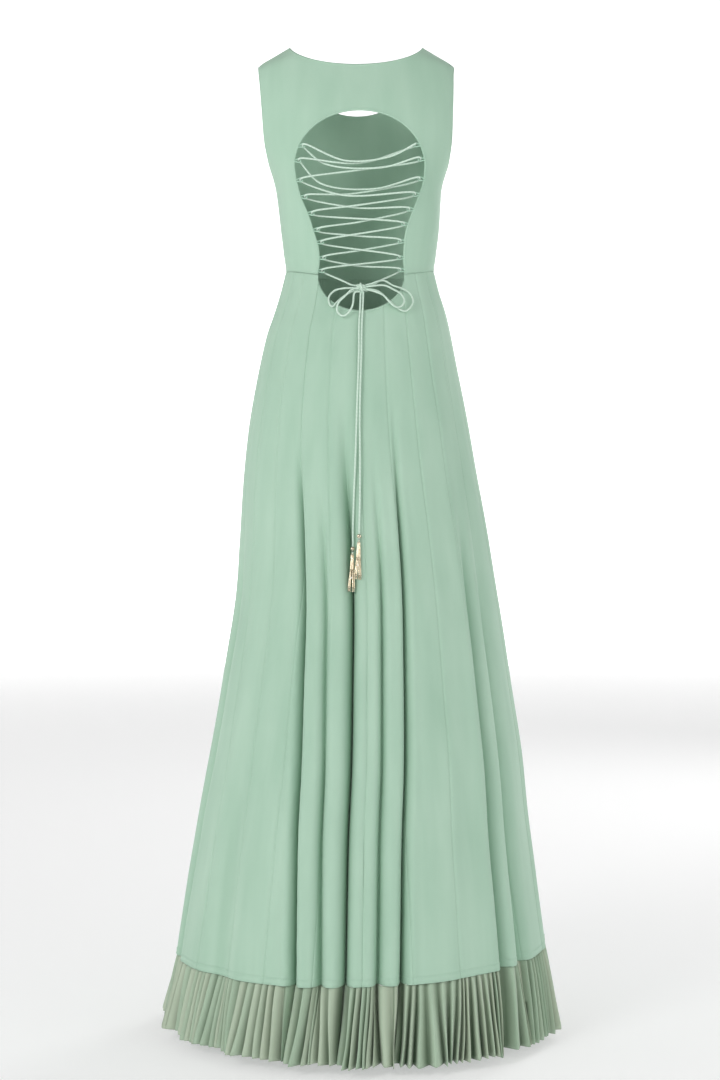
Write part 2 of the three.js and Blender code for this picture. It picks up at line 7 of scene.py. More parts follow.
import bpy
import numpy as np
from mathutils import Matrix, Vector


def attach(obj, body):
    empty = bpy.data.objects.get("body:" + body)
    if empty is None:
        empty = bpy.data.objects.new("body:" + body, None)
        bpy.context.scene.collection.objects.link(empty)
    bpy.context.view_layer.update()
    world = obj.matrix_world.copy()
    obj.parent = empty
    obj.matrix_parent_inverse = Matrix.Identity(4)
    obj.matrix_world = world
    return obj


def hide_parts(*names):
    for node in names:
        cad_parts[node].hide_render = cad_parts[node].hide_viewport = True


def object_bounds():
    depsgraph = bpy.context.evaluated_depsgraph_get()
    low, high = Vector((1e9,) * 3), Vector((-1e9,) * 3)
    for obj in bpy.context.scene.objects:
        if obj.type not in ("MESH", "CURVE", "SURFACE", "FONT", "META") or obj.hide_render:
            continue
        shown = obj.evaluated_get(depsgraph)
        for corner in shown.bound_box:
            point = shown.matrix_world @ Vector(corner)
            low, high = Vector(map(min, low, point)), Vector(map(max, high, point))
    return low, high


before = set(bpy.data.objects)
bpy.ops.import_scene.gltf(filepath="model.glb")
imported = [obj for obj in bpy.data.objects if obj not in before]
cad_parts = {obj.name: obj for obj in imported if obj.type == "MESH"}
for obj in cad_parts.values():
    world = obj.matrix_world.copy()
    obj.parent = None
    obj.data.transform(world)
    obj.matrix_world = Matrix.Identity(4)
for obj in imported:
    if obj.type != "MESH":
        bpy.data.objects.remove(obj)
cad_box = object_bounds()

# ---------------------------------------------------------------- sizes, in millimetres

METRE = 1000.0
CLOTH_WALL = 0.9
RUFFLE_WALL = 0.7

Section = namedtuple("Section", "z half back front shift power")
BODY_SECTIONS = [
    Section(3, 106, 60, 50, 6, 2.2),
    Section(-12, 131, 66, 58, 6, 2.2),
    Section(-28, 156, 72, 66, 6, 2.2),
    Section(-45, 164, 78, 73, 6, 2.2),
    Section(-70, 168, 86, 84, 5, 2.2),
    Section(-107, 167, 96, 101, 4, 2.2),
    Section(-151, 157, 104, 119, 3, 2.2),
    Section(-190, 141.5, 106, 129, 2, 2.2),
    Section(-220, 133, 104, 131, 2, 2.2),
    Section(-250, 129.5, 100, 127, 1, 2.2),
    Section(-290, 126, 92, 112, 0, 2.2),
    Section(-330, 121, 85, 97, 0, 2.15),
    Section(-355, 118.5, 82, 92, 0, 2.15),
    Section(-390, 127, 92, 99, 0, 2.12),
]
SKIRT_SECTIONS = [
    Section(-355, 118.5, 82, 92, 0, 2.15),
    Section(-390, 127, 92, 99, 0, 2.12),
    Section(-422, 137, 103, 107, 0, 2.1),
    Section(-456, 147, 114, 115, 2, 2.08),
    Section(-523, 161, 132, 129, 3, 2.05),
    Section(-601, 175, 149, 144, 2, 2.02),
    Section(-686, 187, 166, 162, -1, 2),
    Section(-782, 198, 185, 182, -7, 2),
    Section(-878, 209, 206, 203, -11, 2),
    Section(-1003, 228, 232, 229, -11, 2),
    Section(-1118, 246, 256, 251, -10, 2),
    Section(-1222, 261, 275, 269, -6, 2),
    Section(-1358, 281, 294, 288, -4, 2),
    Section(-1430, 291, 300, 296, -3, 2),
    Section(-1545, 301, 308, 304, 0, 2),
]

WAIST_SIDE = -355
WAIST_BACK_DROP = 17
NECK_HALF = 106
NECK_TOP = 3
NECK_DROP = {"back": 41, "front": 88}
SHOULDER_TIP = -28
UNDERARM = -190

Armhole = namedtuple("Armhole", "z back front")
ARMHOLE = [
    Armhole(-28, 156, 156),
    Armhole(-48, 154.5, 152),
    Armhole(-70, 153, 149),
    Armhole(-107, 151, 145),
    Armhole(-151, 149, 144),
    Armhole(-176, 145, 143),
    Armhole(-190, 141.5, 141.5),
]

ARCH_BASE = -200
ARCH_RISE = 84
LOWER_RISE = 54
KEYHOLE_WAIST = -366.5
KeyholeSide = namedtuple("KeyholeSide", "z left right")
KEYHOLE_SIDES = [
    KeyholeSide(-200, 102.5, 101.5),
    KeyholeSide(-222, 99, 99),
    KeyholeSide(-249, 91.4, 90),
    KeyholeSide(-274, 80.5, 80),
    KeyholeSide(-302, 71.7, 71),
    KeyholeSide(-322, 65.5, 69),
    KeyholeSide(-344, 63.5, 68.2),
    KeyholeSide(-366.5, 66.2, 70),
]

KALI_COUNT = 24
SEAM_Z = -1430
SEAM_TILT = -8

# A fold is a valley that grows from `start` down to the hem. Its middle drifts from angle `top` to
# `hem`, its width from `wide` to `narrow` (degrees); `depth` is at the hem and `pinch` is how far
# its two walls close over it.
Fold = namedtuple("Fold", "start top hem wide narrow depth pinch")
FOLDS = [
    Fold(-560, 32, 20.5, 1.7, 1.5, 40, 5),
    Fold(-620, 20, 12.6, 1.6, 1.6, 20, 3),
    Fold(-520, 7.4, 5.2, 2.8, 1.7, 46, 6),
    Fold(-590, -7, -4.7, 1.6, 1.6, 22, 3),
    Fold(-530, -18.5, -11.8, 1.5, 1.4, 40, 5),
    Fold(-650, -51, -48.0, 3.4, 2.0, 26, 4),
    Fold(-700, -62, -57.5, 3.0, 2.4, 17, 2),
    Fold(-1050, 52, 48, 8.0, 6.5, 9, 0),
    Fold(-680, 76, 79, 4.0, 2.6, 20, 3),
    Fold(-620, 103, 107, 4.0, 2.4, 26, 4),
    Fold(-760, 124, 128, 4.0, 2.8, 18, 2),
    Fold(-600, 150, 147, 3.6, 2.0, 30, 4),
    Fold(-720, 166, 164, 3.6, 2.4, 17, 2),
    Fold(-620, 187, 183, 3.8, 2.0, 28, 4),
    Fold(-680, 208, 205, 3.8, 2.4, 20, 3),
    Fold(-600, 228, 229, 3.8, 2.2, 30, 4),
    Fold(-740, 250, 252, 4.0, 2.8, 17, 2),
    Fold(-640, 272, 276, 4.0, 2.6, 22, 3),
]

# A fold is at full strength after a share 1 / FOLD_GROWTH of its run, and deepens slowly from there.
FOLD_GROWTH = 2.8
FOLD_EASE = 0.4

# Soft creases pulled in the bodice, by angle and height: half lengths and widths in millimetres.
Crease = namedtuple("Crease", "angle z run width depth slope")
CREASES = [
    Crease(66, -318, 26, 5, -1.6, 18),
    Crease(72, -332, 30, 4, 1.4, 12),
    Crease(60, -338, 20, 4, -1.2, 24),
    Crease(74, -296, 22, 5, -1.1, 28),
    Crease(-64, -322, 24, 5, -1.2, -16),
    Crease(-70, -338, 28, 4, 1.1, -9),
    Crease(-72, -300, 18, 5, -0.9, -26),
    Crease(64, -205, 24, 9, -1.2, -38),
    Crease(-62, -208, 22, 9, -1.1, 36),
    Crease(118, -300, 30, 6, -1.5, 20),
    Crease(124, -322, 26, 5, 1.3, 14),
    Crease(-120, -305, 28, 6, -1.4, -19),
    Crease(-126, -328, 24, 5, 1.1, -12),
    Crease(112, -205, 26, 8, -1.4, 42),
    Crease(-110, -208, 24, 8, -1.3, -40),
    Crease(176, -335, 34, 6, -0.9, 4),
]
CREASE_RADIUS = 118

PLEATS = 168
RUFFLE_DROP = 112
RUFFLE_FLARE = 12

LOOP_HEIGHTS = {
    "left": [-169, -190, -220, -246, -272, -298, -317, -341, -361],
    "right": [-167, -188, -218, -242, -266, -289, -315, -340, -360],
}
LOOP_OUTLINE = [(-1.5, 1.3), (2, 1.7), (5, 2.6), (7, 3.0), (8.8, 2.4), (9.8, 1.2), (10.1, 0)]
LOOP_INWARD = Vector((0.97, 0.243, 0))
LOOP_CORD = 1.8

CORD = 3.0

# The routes of the lace, the bow and its ends, the same as in the part's source.
ROUTES = {
    "lace_left": [
        [-87.1, 90.7, -165.5], [-46.7, 82.3, -184.4], [23.4, 82.8, -190.8], [86.5, 93.3, -167],
        [89.1, 86.9, -169], [86.5, 81.1, -171], [54.6, 77.5, -195], [-34.3, 79.2, -201],
        [-91.7, 85.2, -186], [-94.3, 78.8, -188], [-91.7, 73, -190], [1.6, 73.8, -203.9],
        [90.5, 82.6, -218], [93.1, 76.2, -220], [90.5, 70.4, -222], [23.4, 80.8, -244.9],
        [-83.5, 81.9, -240], [-86.1, 75.5, -242], [-83.5, 69.7, -244], [1.6, 79.4, -259.5],
        [72.6, 84.6, -270], [75.2, 78.2, -272], [72.6, 72.4, -274], [-66.4, 84.3, -287],
        [-69, 77.9, -289], [-66.4, 72.1, -291], [58.2, 82.4, -315], [60.8, 76, -317],
        [58.2, 70.2, -319], [-59.5, 78, -338], [-62.1, 71.6, -340], [-59.5, 65.8, -342],
        [56.7, 79.1, -359], [59.3, 72.7, -361], [56.7, 66.9, -363], [24, 86, -380],
        [12.2, 95, -386.5],
    ],
    "lace_right": [
        [-87.1, 81.9, -168], [1.6, 74.8, -193.4], [93, 86.8, -188], [95.6, 80.4, -190],
        [93, 74.6, -192], [61, 73.1, -225], [-23.5, 70.6, -232.7], [-90.6, 79.7, -216],
        [-93.2, 73.3, -218], [-90.6, 67.5, -220], [15.6, 71.5, -241], [83.4, 83.1, -244],
        [86, 76.7, -246], [83.4, 70.9, -248], [1.6, 73.1, -263.1], [-74.4, 84.1, -264],
        [-77, 77.7, -266], [-74.4, 71.9, -268], [1.6, 73.3, -285], [64.1, 83.6, -296],
        [66.7, 77.2, -298], [64.1, 71.4, -300], [1.6, 72, -306.7], [-60.9, 81.7, -313],
        [-63.5, 75.3, -315], [-60.9, 69.5, -317], [1.6, 69.2, -329], [55, 79.8, -339],
        [57.6, 73.4, -341], [55, 67.6, -343], [1.6, 66.2, -352.8], [-60.7, 77.1, -358],
        [-63.3, 70.7, -360], [-60.7, 64.9, -362], [-32, 86, -378], [-18.2, 95, -386.5],
    ],
    "bow_left_upper": [
        [12, 99, -391.5], [27.9, 96.9, -392], [40.3, 95, -395.6], [48.4, 96.2, -405.8],
        [47.2, 100.2, -416.4], [42.6, 103.2, -420.6], [35.6, 104.2, -413.8], [26.3, 102.8, -405.6],
        [11.6, 99, -396.5],
    ],
    "bow_left_lower": [
        [8, 103, -398.8], [11.6, 111.6, -420.1], [18.5, 113.5, -431.9], [26.2, 113.2, -436.2],
        [33.2, 111.8, -432], [35.8, 110.9, -424.6], [32.4, 109, -414.4], [24.7, 107.3, -406.4],
        [11, 104.4, -393.5],
    ],
    "bow_right_outer": [
        [-16.6, 101.5, -385.5], [-35.7, 95, -379.3], [-51.2, 93.5, -386.9], [-65.3, 89, -391],
        [-77.5, 85.1, -398.3], [-82.5, 86.2, -408.5], [-79.2, 91.4, -419.2], [-69.8, 97.3, -426.9],
        [-58.1, 99.7, -422.5], [-41.1, 99.8, -407.1], [-28.7, 98.5, -396.8], [-17.8, 99.5, -393.6],
    ],
    "bow_right_inner": [
        [-17.9, 103.5, -389], [-38.7, 99.8, -387.7], [-52.7, 96.9, -394], [-62.9, 94.5, -399.6],
        [-68.7, 95.2, -409.6], [-65.1, 99.9, -418.7], [-56.5, 104.4, -421.6], [-46.4, 105.8, -414.8],
        [-35.6, 104.5, -403], [-17.2, 105, -396],
    ],
    "tail_left": [
        [-1, 101, -401], [-0.3, 107.4, -420.4], [1.5, 117.3, -450.8], [1.8, 129.5, -495.1],
        [3.7, 143.5, -552.9], [5.2, 153.9, -600.9], [7.3, 166, -666.8], [9.4, 173.9, -721.5],
        [10.7, 179.6, -766.9], [10.7, 183.1, -789.5],
    ],
    "tail_right": [
        [-5, 101, -401], [-4.3, 107.4, -420.4], [-2.6, 117.3, -450.8], [-2, 129.5, -495.1],
        [-0.3, 143.5, -552.9], [0.6, 153.9, -600.9], [0, 166.8, -666.8], [0.3, 176.6, -721.6],
        [0.9, 182.2, -751.9], [1.1, 185.8, -770.7],
    ],
}

# ---------------------------------------------------------------- forms


def column(table, key, z):
    """A smooth curve through one column of a table whose rows run downwards in z."""
    heights = np.array([row.z for row in table], float)
    values = np.array([getattr(row, key) for row in table], float)
    last = len(table) - 1
    z = np.clip(z, heights[-1], heights[0])
    i = np.clip(np.searchsorted(-heights, -z, side="right") - 1, 0, last - 1)
    lower = np.minimum(np.arange(last + 1) + 1, last)
    upper = np.maximum(np.arange(last + 1) - 1, 0)
    slopes = (values[lower] - values[upper]) / (heights[lower] - heights[upper])
    span = heights[i + 1] - heights[i]
    t = (z - heights[i]) / span
    rise = t * t * (3 - 2 * t)
    leave = t * (1 - t) ** 2
    arrive = t * t * (t - 1)
    blended = values[i] + (values[i + 1] - values[i]) * rise
    return blended + span * (slopes[i] * leave + slopes[i + 1] * arrive)


def signed_power(value, power):
    return np.sign(value) * np.abs(value) ** power


def section_point(table, angle, z):
    """A point on a form's section. The angle is in degrees, 0 at centre back, 90 at the wearer's left."""
    sine, cosine = np.sin(np.radians(angle)), np.cos(np.radians(angle))
    power = 2 / column(table, "power", z)
    depth = np.where(cosine >= 0, column(table, "back", z), column(table, "front", z))
    x = column(table, "half", z) * signed_power(sine, power) + column(table, "shift", z)
    y = depth * signed_power(cosine, power)
    return np.stack([x, y, z + 0 * x], axis=-1)


def angle_at(table, x, z):
    """The angle at which a section reaches a distance x from its own middle."""
    reach = np.minimum(1, np.abs(x) / column(table, "half", z))
    return np.sign(x) * np.degrees(np.arcsin(reach ** (column(table, "power", z) / 2)))


def smooth(t):
    t = np.clip(t, 0, 1)
    return t * t * (3 - 2 * t)


def mix(start, end, t):
    return start + (end - start) * t


def bump(distance, width):
    return np.exp(-((distance / width) ** 2))


def waist_height(angle):
    cosine = np.maximum(0, np.cos(np.radians(angle)))
    return WAIST_SIDE - WAIST_BACK_DROP * cosine**2


def seam_height(angle):
    return SEAM_Z + SEAM_TILT * np.sin(np.radians(angle))


def turn(angle):
    return (angle + 180) % 360 - 180


def sideways(points, angle, outward, along):
    """Moves points outwards and along the section by distances."""
    sine, cosine = np.sin(np.radians(angle)), np.cos(np.radians(angle))
    points[..., 0] += outward * sine + along * cosine
    points[..., 1] += outward * cosine - along * sine
    return points


def fold_push(angle, z, ease=1.0):
    """How far the folds push the skirt out and along. `ease` widens them."""
    out, along = 0 * angle + 0 * z, 0 * angle + 0 * z
    for fold in FOLDS:
        grown = np.clip((fold.start - z) / (fold.start - SEAM_Z), 0, 1)
        middle = mix(fold.top, fold.hem, grown)
        width = mix(fold.wide, fold.narrow, grown) * ease
        away = turn(angle - middle) / width
        near = np.exp(-away * away / 2)
        strength = grown**FOLD_EASE * smooth(grown * FOLD_GROWTH)
        out = out - fold.depth * strength * (1 - 0.35 * away * away) * near
        along = along - fold.pinch * strength * 1.65 * away * near
    return out, along


# Slow waves that keep the skirt between its folds from being a plain cone.
Wave = namedtuple("Wave", "turns phase height drift")
WAVE_RUN = 400
WAVES = [Wave(7, 0.4, 1.5, 0.6), Wave(11, 2.1, 1.1, -0.8), Wave(17, 4.0, 0.7, 0.5), Wave(29, 1.0, 0.35, 0.9)]


def skirt_point(angle, z):
    points = section_point(SKIRT_SECTIONS, angle, z)
    out, along = fold_push(angle, z)
    grown = smooth((WAIST_SIDE - 40 - z) / 500)
    for wave in WAVES:
        swing = np.radians(angle) * wave.turns + wave.phase + wave.drift * z / WAVE_RUN
        out = out + wave.height * grown * np.sin(swing)
    return sideways(points, angle, out, along)


def skirt_top(angle):
    """The keyhole's lower curve, and the waist seam outside it."""
    z = waist_height(angle)
    low = KEYHOLE_SIDES[-1]
    for _ in range(8):
        x = skirt_point(angle, z)[..., 0]
        reach = np.where(x > 0, low.left, low.right)
        inside = np.maximum(0, 1 - (x / reach) ** 2)
        lowered = waist_height(angle) - LOWER_RISE * np.sqrt(inside)
        z = np.where(np.cos(np.radians(angle)) > 0, lowered, waist_height(angle))
    return z


def keyhole_width(z, side):
    """Half the keyhole's width at one height."""
    if z < ARCH_BASE:
        return float(column(KEYHOLE_SIDES, side, np.array(z, float)))
    rise = (z - ARCH_BASE) / ARCH_RISE
    return getattr(KEYHOLE_SIDES[0], side) * math.sqrt(1 - rise * rise)


ARCH_START = 0.54


def keyhole_edge(along, side):
    """The keyhole's edge above the waist, from 0 at the waist seam to 1 at the top."""
    sign = 1 if side == "left" else -1
    if along < ARCH_START:
        z = mix(KEYHOLE_WAIST, ARCH_BASE, along / ARCH_START)
        return sign * keyhole_width(z, side), z
    lift = math.radians(90 * (along - ARCH_START) / (1 - ARCH_START))
    x = sign * getattr(KEYHOLE_SIDES[0], side) * math.cos(lift)
    return x, ARCH_BASE + ARCH_RISE * math.sin(lift)


# The outer edge of half a bodice piece, in four runs, and each run's share of the inner edges.
Run = namedtuple("Run", "name steps keyhole waist")
RUNS = [
    Run("side", 34, 0.5, 0.34),
    Run("armhole", 34, 0.2, 0.3),
    Run("shoulder", 14, 0.1, 0.12),
    Run("neckline", 30, 0.2, 0.24),
]
HALF_STEPS = sum(run.steps for run in RUNS)
SPREAD = 1.7


def run_at(step):
    start, keyhole, waist = 0, 0.0, 0.0
    for run in RUNS:
        if step <= start + run.steps:
            t = (step - start) / run.steps
            return run.name, t, keyhole + run.keyhole * t, waist + run.waist * t
        start += run.steps
        keyhole += run.keyhole
        waist += run.waist
    return "neckline", 1.0, 1.0, 1.0


def outer_edge(run, t, face):
    """The angle and height of a bodice piece's outer edge."""
    if run == "side":
        return 90.0, mix(WAIST_SIDE, UNDERARM, t)
    if run == "armhole":
        z = np.array(mix(UNDERARM, SHOULDER_TIP, math.sin(math.radians(90 * t)) ** 1.5))
        return float(angle_at(BODY_SECTIONS, column(ARMHOLE, face, z), z)), float(z)
    if run == "shoulder":
        return 90.0, mix(SHOULDER_TIP, NECK_TOP, t)
    sweep = math.radians(90 * t**1.4)
    z = np.array(NECK_TOP - NECK_DROP[face] * math.sin(sweep))
    return float(angle_at(BODY_SECTIONS, NECK_HALF * math.cos(sweep) + 1e-6, z)), float(z)


def creased(angle, z):
    """How far the bodice's creases push its cloth out, by angle and height."""
    push = 0 * angle
    for crease in CREASES:
        across = turn(angle - crease.angle) * math.radians(1) * CREASE_RADIUS
        rise = z - crease.z
        slope = math.radians(crease.slope)
        run = across * math.cos(slope) + rise * math.sin(slope)
        off = rise * math.cos(slope) - across * math.sin(slope)
        push = push + crease.depth * bump(run, crease.run) * bump(off, crease.width)
    return push


# ---------------------------------------------------------------- meshes


def finish_mesh(name, vertices, faces, material, fields=None):
    mesh = bpy.data.meshes.new(name)
    mesh.from_pydata(vertices, [], faces)
    mesh.polygons.foreach_set("use_smooth", [True] * len(mesh.polygons))
    for key, values in (fields or {}).items():
        layer = mesh.attributes.new(key, "FLOAT", "POINT")
        layer.data.foreach_set("value", np.asarray(values, np.float32).ravel())
    mesh.materials.append(material)
    mesh.update()
    piece = bpy.data.objects.new(name, mesh)
    bpy.context.scene.collection.objects.link(piece)
    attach(piece, "root")
    return piece


def arc_lengths(points, axis):
    step = np.linalg.norm(np.diff(points, axis=axis), axis=-1)
    start = np.zeros_like(np.take(step, [0], axis=axis))
    return np.concatenate([start, np.cumsum(step, axis=axis)], axis=axis)


def cloth_sheet(name, points, material, wall, flip=False, fields=None):
    """A thin shell through a grid of points in millimetres, with cloth measures along both ways."""
    columns, rows = points.shape[0] - 1, points.shape[1] - 1
    ids = np.arange((columns + 1) * (rows + 1)).reshape(columns + 1, rows + 1)
    corners = [ids[:-1, :-1], ids[1:, :-1], ids[1:, 1:], ids[:-1, 1:]]
    if flip:
        corners.reverse()
    faces = np.stack(corners, axis=-1).reshape(-1, 4).tolist()
    measures = {
        "across": arc_lengths(points, 0) / METRE,
        "down": arc_lengths(points, 1) / METRE,
        **(fields or {}),
    }
    vertices = (points.reshape(-1, 3) / METRE).tolist()
    piece = finish_mesh(name, vertices, faces, material, measures)
    shell = piece.modifiers.new("wall", "SOLIDIFY")
    shell.thickness = wall / METRE
    shell.offset = -1
    return piece


def cloth_area(points):
    """Area of a grid of points, in square metres."""
    a = np.cross(points[1:, :-1] - points[:-1, :-1], points[:-1, 1:] - points[:-1, :-1])
    b = np.cross(points[1:, :-1] - points[1:, 1:], points[:-1, 1:] - points[1:, 1:])
    total = np.linalg.norm(a, axis=-1).sum() + np.linalg.norm(b, axis=-1).sum()
    return float(total / 2 / METRE**2)


def flat_cut(points):
    """Width, length and area of the flat cut of a gridded piece, in metres."""
    width = float(arc_lengths(points, 0)[-1].max()) / METRE
    length = float(arc_lengths(points, 1)[:, -1].max()) / METRE
    return width, length, cloth_area(points)


def ring_faces(rings, sides, flip=False):
    """The four-sided faces between a run of rings that have the same number of points."""
    faces = []
    for r in range(rings):
        low, high = r * sides, (r + 1) * sides
        for n in range(sides):
            m = (n + 1) % sides
            a, b = (m, n) if flip else (n, m)
            faces.append((low + a, low + b, high + b, high + a))
    return faces


def tube(centres, radii, sides=12):
    """Vertices, faces and measures of a closed round tube along points, in millimetres."""
    centres = np.asarray(centres, float)
    count = len(centres)
    radii = np.broadcast_to(radii, (count,))
    tangents = np.gradient(centres, axis=0)
    tangents /= np.linalg.norm(tangents, axis=1, keepdims=True)
    side = np.cross(tangents[0], [0.13, 0.21, 0.97])
    side /= np.linalg.norm(side)
    along = np.concatenate([[0], np.cumsum(np.linalg.norm(np.diff(centres, axis=0), axis=1))])
    ring = np.linspace(0, 2 * math.pi, sides, endpoint=False)
    vertices, runs, rounds = [], [], []
    for k in range(count):
        side = side - tangents[k] * np.dot(side, tangents[k])
        side /= np.linalg.norm(side)
        other = np.cross(tangents[k], side)
        for a in ring:
            vertices.append(centres[k] + radii[k] * (math.cos(a) * side + math.sin(a) * other))
            runs.append(along[k] / METRE)
            rounds.append(a)
    faces = ring_faces(count - 1, sides)
    faces.append(tuple(range(sides))[::-1])
    faces.append(tuple((count - 1) * sides + n for n in range(sides)))
    return vertices, faces, runs, rounds


def joined(parts):
    """Joins several lots of vertices, faces and measures into one."""
    vertices, faces, runs, rounds = [], [], [], []
    for part in parts:
        base = len(vertices)
        vertices += [tuple(v) for v in part[0]]
        faces += [tuple(base + i for i in face) for face in part[1]]
        runs += list(part[2])
        rounds += list(part[3])
    return vertices, faces, runs, rounds


def solid_piece(name, parts, material):
    vertices, faces, runs, rounds = joined(parts)
    metres = [tuple(c / METRE for c in v) for v in vertices]
    return finish_mesh(name, metres, faces, material, {"along": runs, "around": rounds})


def smooth_route(points, steps=8):
    """A smooth curve through a route's points, by centripetal splines."""
    points = [Vector(p) for p in points]
    first = points[0] * 2 - points[1]
    last = points[-1] * 2 - points[-2]
    ring = [first, *points, last]
    made = []
    for p0, p1, p2, p3 in zip(ring, ring[1:], ring[2:], ring[3:]):
        t1 = (p1 - p0).length ** 0.5
        t2 = t1 + (p2 - p1).length ** 0.5
        t3 = t2 + (p3 - p2).length ** 0.5
        for n in range(steps):
            t = mix(t1, t2, n / steps)
            a1 = p0.lerp(p1, t / t1)
            a2 = p1.lerp(p2, (t - t1) / (t2 - t1))
            a3 = p2.lerp(p3, (t - t2) / (t3 - t2))
            b1 = a1.lerp(a2, t / t2)
            b2 = a2.lerp(a3, (t - t1) / (t3 - t1))
            made.append(b1.lerp(b2, (t - t1) / (t2 - t1)))
    made.append(points[-1])
    return np.array([tuple(p) for p in made])

# ---------------------------------------------------------------- materials


class Wire:
    """A shader value that plain arithmetic works on."""

    def __init__(self, paint, socket):
        self.paint = paint
        self.socket = socket

    def maths(self, operation, first, second):
        return self.paint.node("ShaderNodeMath", {"operation": operation}, {0: first, 1: second})

    def __add__(self, other):
        return self.maths("ADD", self, other)

    def __radd__(self, other):
        return self.maths("ADD", other, self)

    def __sub__(self, other):
        return self.maths("SUBTRACT", self, other)

    def __rsub__(self, other):
        return self.maths("SUBTRACT", other, self)

    def __mul__(self, other):
        return self.maths("MULTIPLY", self, other)

    def __rmul__(self, other):
        return self.maths("MULTIPLY", other, self)


class Paint:
    """A material and its nodes."""

    def __init__(self, name):
        self.material = bpy.data.materials.new(name)
        self.material.use_nodes = True
        self.tree = self.material.node_tree
        self.tree.nodes.clear()

    def node(self, kind, settings=None, values=None, out=0):
        made = self.tree.nodes.new(kind)
        for key, value in (settings or {}).items():
            if key == "stops":
                ramp = made.color_ramp
                while len(ramp.elements) < len(value):
                    ramp.elements.new(1.0)
                for element, (place, colour) in zip(ramp.elements, value):
                    element.position = place
                    element.color = colour
            else:
                setattr(made, key, value)
        for key, value in (values or {}).items():
            if isinstance(value, Wire):
                self.tree.links.new(value.socket, made.inputs[key])
            else:
                made.inputs[key].default_value = value
        return Wire(self, made.outputs[out]) if made.outputs else None

    def place(self):
        return self.node("ShaderNodeTexCoord", out="Object")

    def stretched(self, x, y, z):
        return self.node("ShaderNodeMapping", None, {"Vector": self.place(), "Scale": (x, y, z)})

    def grain(self, vector, scale, detail=2.0, roughness=0.5):
        values = {"Vector": vector, "Scale": scale, "Detail": detail, "Roughness": roughness}
        return self.node("ShaderNodeTexNoise", None, values)

    def measure(self, name):
        return self.node("ShaderNodeAttribute", {"attribute_name": name}, out="Fac")

    def wave(self, value, pitch):
        """Swings from -1 to 1 once in every pitch."""
        return self.node("ShaderNodeMath", {"operation": "SINE"}, {0: value * (2 * math.pi / pitch)})

    def blend(self, first, second, share):
        # In a colour mix, sockets 0, 6 and 7 are its factor and its two colours, and output 2 is the colour.
        return self.node("ShaderNodeMix", {"data_type": "RGBA"}, {0: share, 6: first, 7: second}, out=2)

    def raised(self, height, distance, strength=1.0):
        values = {"Height": height, "Distance": distance, "Strength": strength}
        return self.node("ShaderNodeBump", None, values)

    def finish(self, **values):
        sockets = {}
        for key, value in values.items():
            sockets[key.replace("_", " ").title().replace("Ior", "IOR")] = value
        shader = self.node("ShaderNodeBsdfPrincipled", None, sockets)
        self.node("ShaderNodeOutputMaterial", None, {"Surface": shader})
        return self.material


def clamped(paint, value):
    return paint.node("ShaderNodeClamp", None, {"Value": value})


CREPE_LIGHT = (0.425, 0.600, 0.475, 1)
CREPE_DEEP = (0.345, 0.525, 0.400, 1)


def crepe(name, light, deep, hollow, fade=None):
    """Matt crepe: a pebbled grain, faint warp and weft, long soft streaks, a little bloom and painted shade
    in its folds.
    """
    paint = Paint(name)
    streaks = paint.grain(paint.stretched(26, 26, 1.6), 1.0, 3.0)
    clouds = paint.grain(paint.place(), 7.0, 2.0)
    grain = paint.grain(paint.place(), 900.0, 3.0, 0.65)
    warp = paint.wave(paint.measure("across"), 0.0009)
    weft = paint.wave(paint.measure("down"), 0.0011)
    share = clamped(paint, 0.5 + (streaks - 0.5) * 1.5 + (clouds - 0.5) * 0.9 + (grain - 0.5) * 0.5)
    colour = paint.blend(light, deep, share)
    if fade:
        colour = paint.blend(colour, fade, clamped(paint, paint.measure("tone")))
    # Painted shade: the colour darkens towards a dark shade colour where the cloth folds inward, standing in
    # for the shade that falls there.
    colour = paint.blend(colour, hollow, clamped(paint, paint.measure("hollow")))
    height = grain * 0.8 + warp * 0.06 + weft * 0.06
    normal = paint.raised(height, 0.00035, 0.55)
    roughness = 0.80 + (grain - 0.5) * 0.12
    return paint.finish(
        base_color=colour,
        roughness=roughness,
        normal=normal,
        sheen_weight=0.18,
        sheen_roughness=0.45,
        specular_ior_level=0.25,
    )


def rouleau(name, light, deep):
    """A turned satin cord: bias twist along it, fine threads and a soft shine."""
    paint = Paint(name)
    along, around = paint.measure("along"), paint.measure("around")
    twist = paint.wave(along + around * (0.0062 / (2 * math.pi)), 0.0062)
    threads = paint.wave(along - around * (0.0009 / (2 * math.pi)), 0.0009)
    grain = paint.grain(paint.place(), 700.0, 2.0)
    share = clamped(paint, 0.45 + twist * 0.16 + (grain - 0.5) * 0.7)
    normal = paint.raised(twist * 0.5 + threads * 0.18 + grain * 0.3, 0.0003, 0.6)
    return paint.finish(
        base_color=paint.blend(light, deep, share),
        roughness=0.5 + (grain - 0.5) * 0.15,
        normal=normal,
        sheen_weight=0.2,
        sheen_roughness=0.35,
        specular_ior_level=0.4,
    )


def thread(name, colour):
    paint = Paint(name)
    grain = paint.grain(paint.place(), 1600.0, 2.0)
    shade = tuple(c * 0.8 for c in colour[:3]) + (1,)
    return paint.finish(
        base_color=paint.blend(colour, shade, grain),
        roughness=0.55 + (grain - 0.5) * 0.2,
        normal=paint.raised(grain, 0.0001, 0.4),
        sheen_weight=0.1,
    )


def gilt(name, light, deep, rough):
    """Pale gold plate with tarnish in its hollows and fine scratches."""
    paint = Paint(name)
    patches = paint.grain(paint.place(), 260.0, 3.0)
    scratches = paint.grain(paint.stretched(900, 900, 120), 1.0, 2.0)
    share = clamped(paint, (patches - 0.38) * 2.4)
    return paint.finish(
        base_color=paint.blend(light, deep, share),
        metallic=0.85 + (patches - 0.5) * 0.1,
        roughness=rough + (patches - 0.5) * 0.25 + (scratches - 0.5) * 0.1,
        normal=paint.raised(scratches, 0.0001, 0.25),
    )


